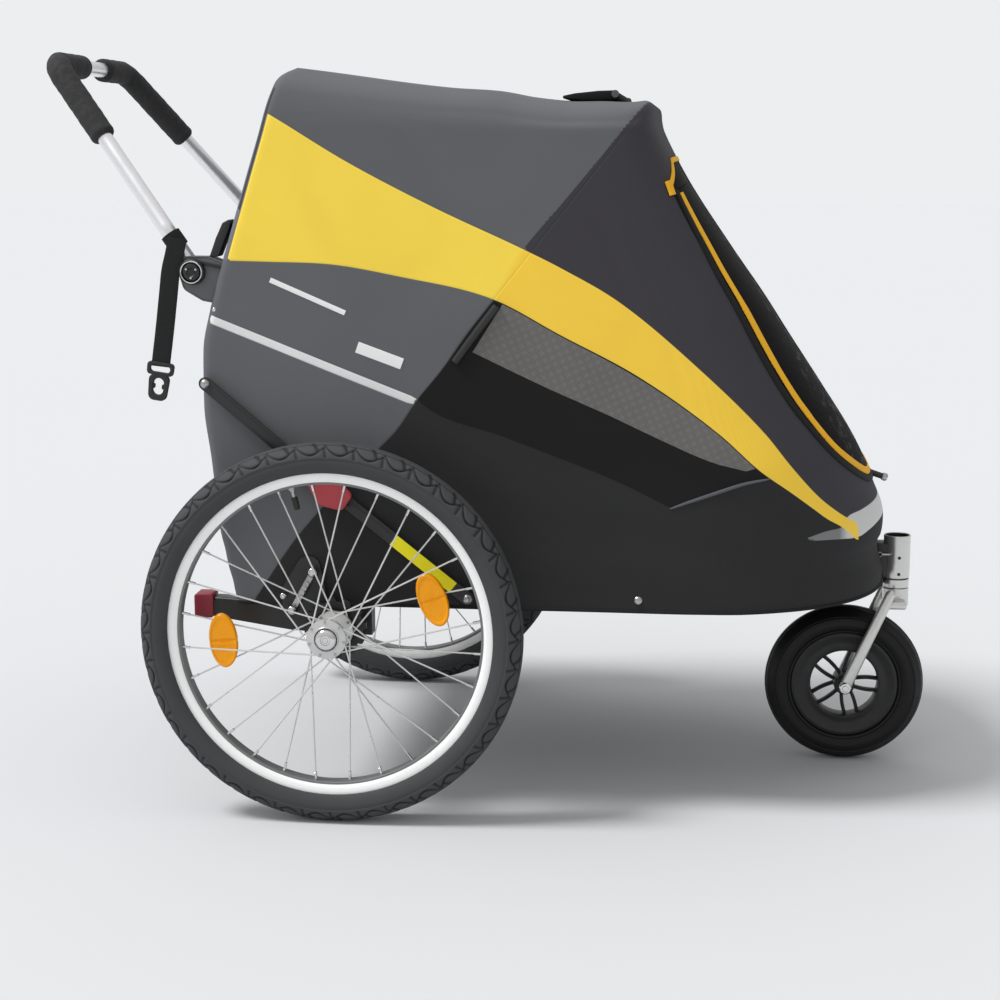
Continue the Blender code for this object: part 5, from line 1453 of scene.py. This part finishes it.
cover = fillet([(0.082, 0.9190), (0.110, 0.9245), (0.140, 0.9275), (0.160, 0.9280), (0.1660, 0.9245),
                (0.1665, 0.9160), (0.120, 0.9150)],
               0.004, 5, True)
cover = plate("roll", cover, -0.190, 0.190, trim_black, 0.0015)
knobs = [tube("knob", [Vector((0.1610, sign * 0.1890, 0.9235)), Vector((0.1610, sign * 0.1960, 0.9235))], 0.0048,
              bracket_plastic, 16)
         for sign in (1, -1)]
fold_flat(keep(joined("rolled_cover", [cover, *knobs]), "base", "tub_fabric"))


# ---------------------------------------------------------------- CAD nodes that stay

for name, mat in (("side_rail_left", black_metal), ("side_rail_right", black_metal), ("rear_cross_tube", black_metal),
                  ("middle_cross_tube", black_metal), ("front_bow", black_metal), ("floor_panel", lining),
                  ("axle_arm_left", black_metal), ("axle_arm_right", black_metal), ("fold_plate_left", steel),
                  ("fold_plate_right", steel)):
    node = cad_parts[name]
    for index in range(max(1, len(node.data.materials))):
        if node.data.materials:
            node.data.materials[index] = mat
        else:
            node.data.materials.append(mat)


# ---------------------------------------------------------------- floor, light, camera


def stage_floor():
    floor = mesh_object("studio_floor", [(-12, -8, 0), (12, -8, 0), (12, 30, 0), (-12, 30, 0)], [(0, 1, 2, 3)], None,
                        False)
    nodes = Nodes("studio_floor", srgb(205, 207, 209), 1.0, Specular_IOR_Level=0.0)
    nodes.set_colour(nodes.tint(nodes.colour, nodes.noise(0.4, 2.0), 0.005))
    floor.data.materials.append(nodes.material)
    return floor


stage_floor()
bpy.context.scene.view_settings.view_transform = "Standard"
world = bpy.data.worlds.new("studio")
bpy.context.scene.world = world
world.use_nodes = True
tree = world.node_tree
shown = tree.nodes["Background"]
shown.inputs["Color"].default_value = srgb(236, 238, 240)
fill = tree.nodes.new("ShaderNodeBackground")
fill.inputs["Strength"].default_value = 0.62
# A soft studio: brighter above and from the left, so that round metal shows a light and a dark side.
around = tree.nodes.new("ShaderNodeTexCoord")
split = tree.nodes.new("ShaderNodeSeparateXYZ")
lean = tree.nodes.new("ShaderNodeMath")
lean.operation = "MULTIPLY_ADD"
lean.inputs[1].default_value = -0.55
ramp = tree.nodes.new("ShaderNodeMapRange")
for key, value in (("From Min", -0.9), ("From Max", 1.3), ("To Min", 0.55), ("To Max", 1.45)):
    ramp.inputs[key].default_value = value
tree.links.new(around.outputs["Generated"], split.inputs[0])
tree.links.new(split.outputs["X"], lean.inputs[0])
tree.links.new(split.outputs["Z"], lean.inputs[2])
tree.links.new(lean.outputs[0], ramp.inputs["Value"])
tree.links.new(ramp.outputs["Result"], fill.inputs["Color"])
ray, blend = tree.nodes.new("ShaderNodeLightPath"), tree.nodes.new("ShaderNodeMixShader")
tree.links.new(ray.outputs["Is Camera Ray"], blend.inputs[0])
tree.links.new(fill.outputs[0], blend.inputs[1])
tree.links.new(shown.outputs[0], blend.inputs[2])
tree.links.new(blend.outputs[0], tree.nodes["World Output"].inputs["Surface"])

sun_data = bpy.data.lights.new("key", "SUN")
sun_data.energy = 2.35
sun_data.angle = math.radians(16)
sun = bpy.data.objects.new("key", sun_data)
sun.rotation_euler = Vector((-0.62, -0.20, 1.0)).to_track_quat("Z", "Y").to_euler()
bpy.context.scene.collection.objects.link(sun)

camera_data = bpy.data.cameras.new("camera")
camera_data.lens = 69.85
camera_data.sensor_width = 36
camera = bpy.data.objects.new("camera", camera_data)
camera.location = (0.2854, -2.7046, 0.8539)
camera.rotation_euler = (math.radians(90) - 0.1787, 0, 0.1076)
bpy.context.scene.collection.objects.link(camera)
bpy.context.scene.camera = camera
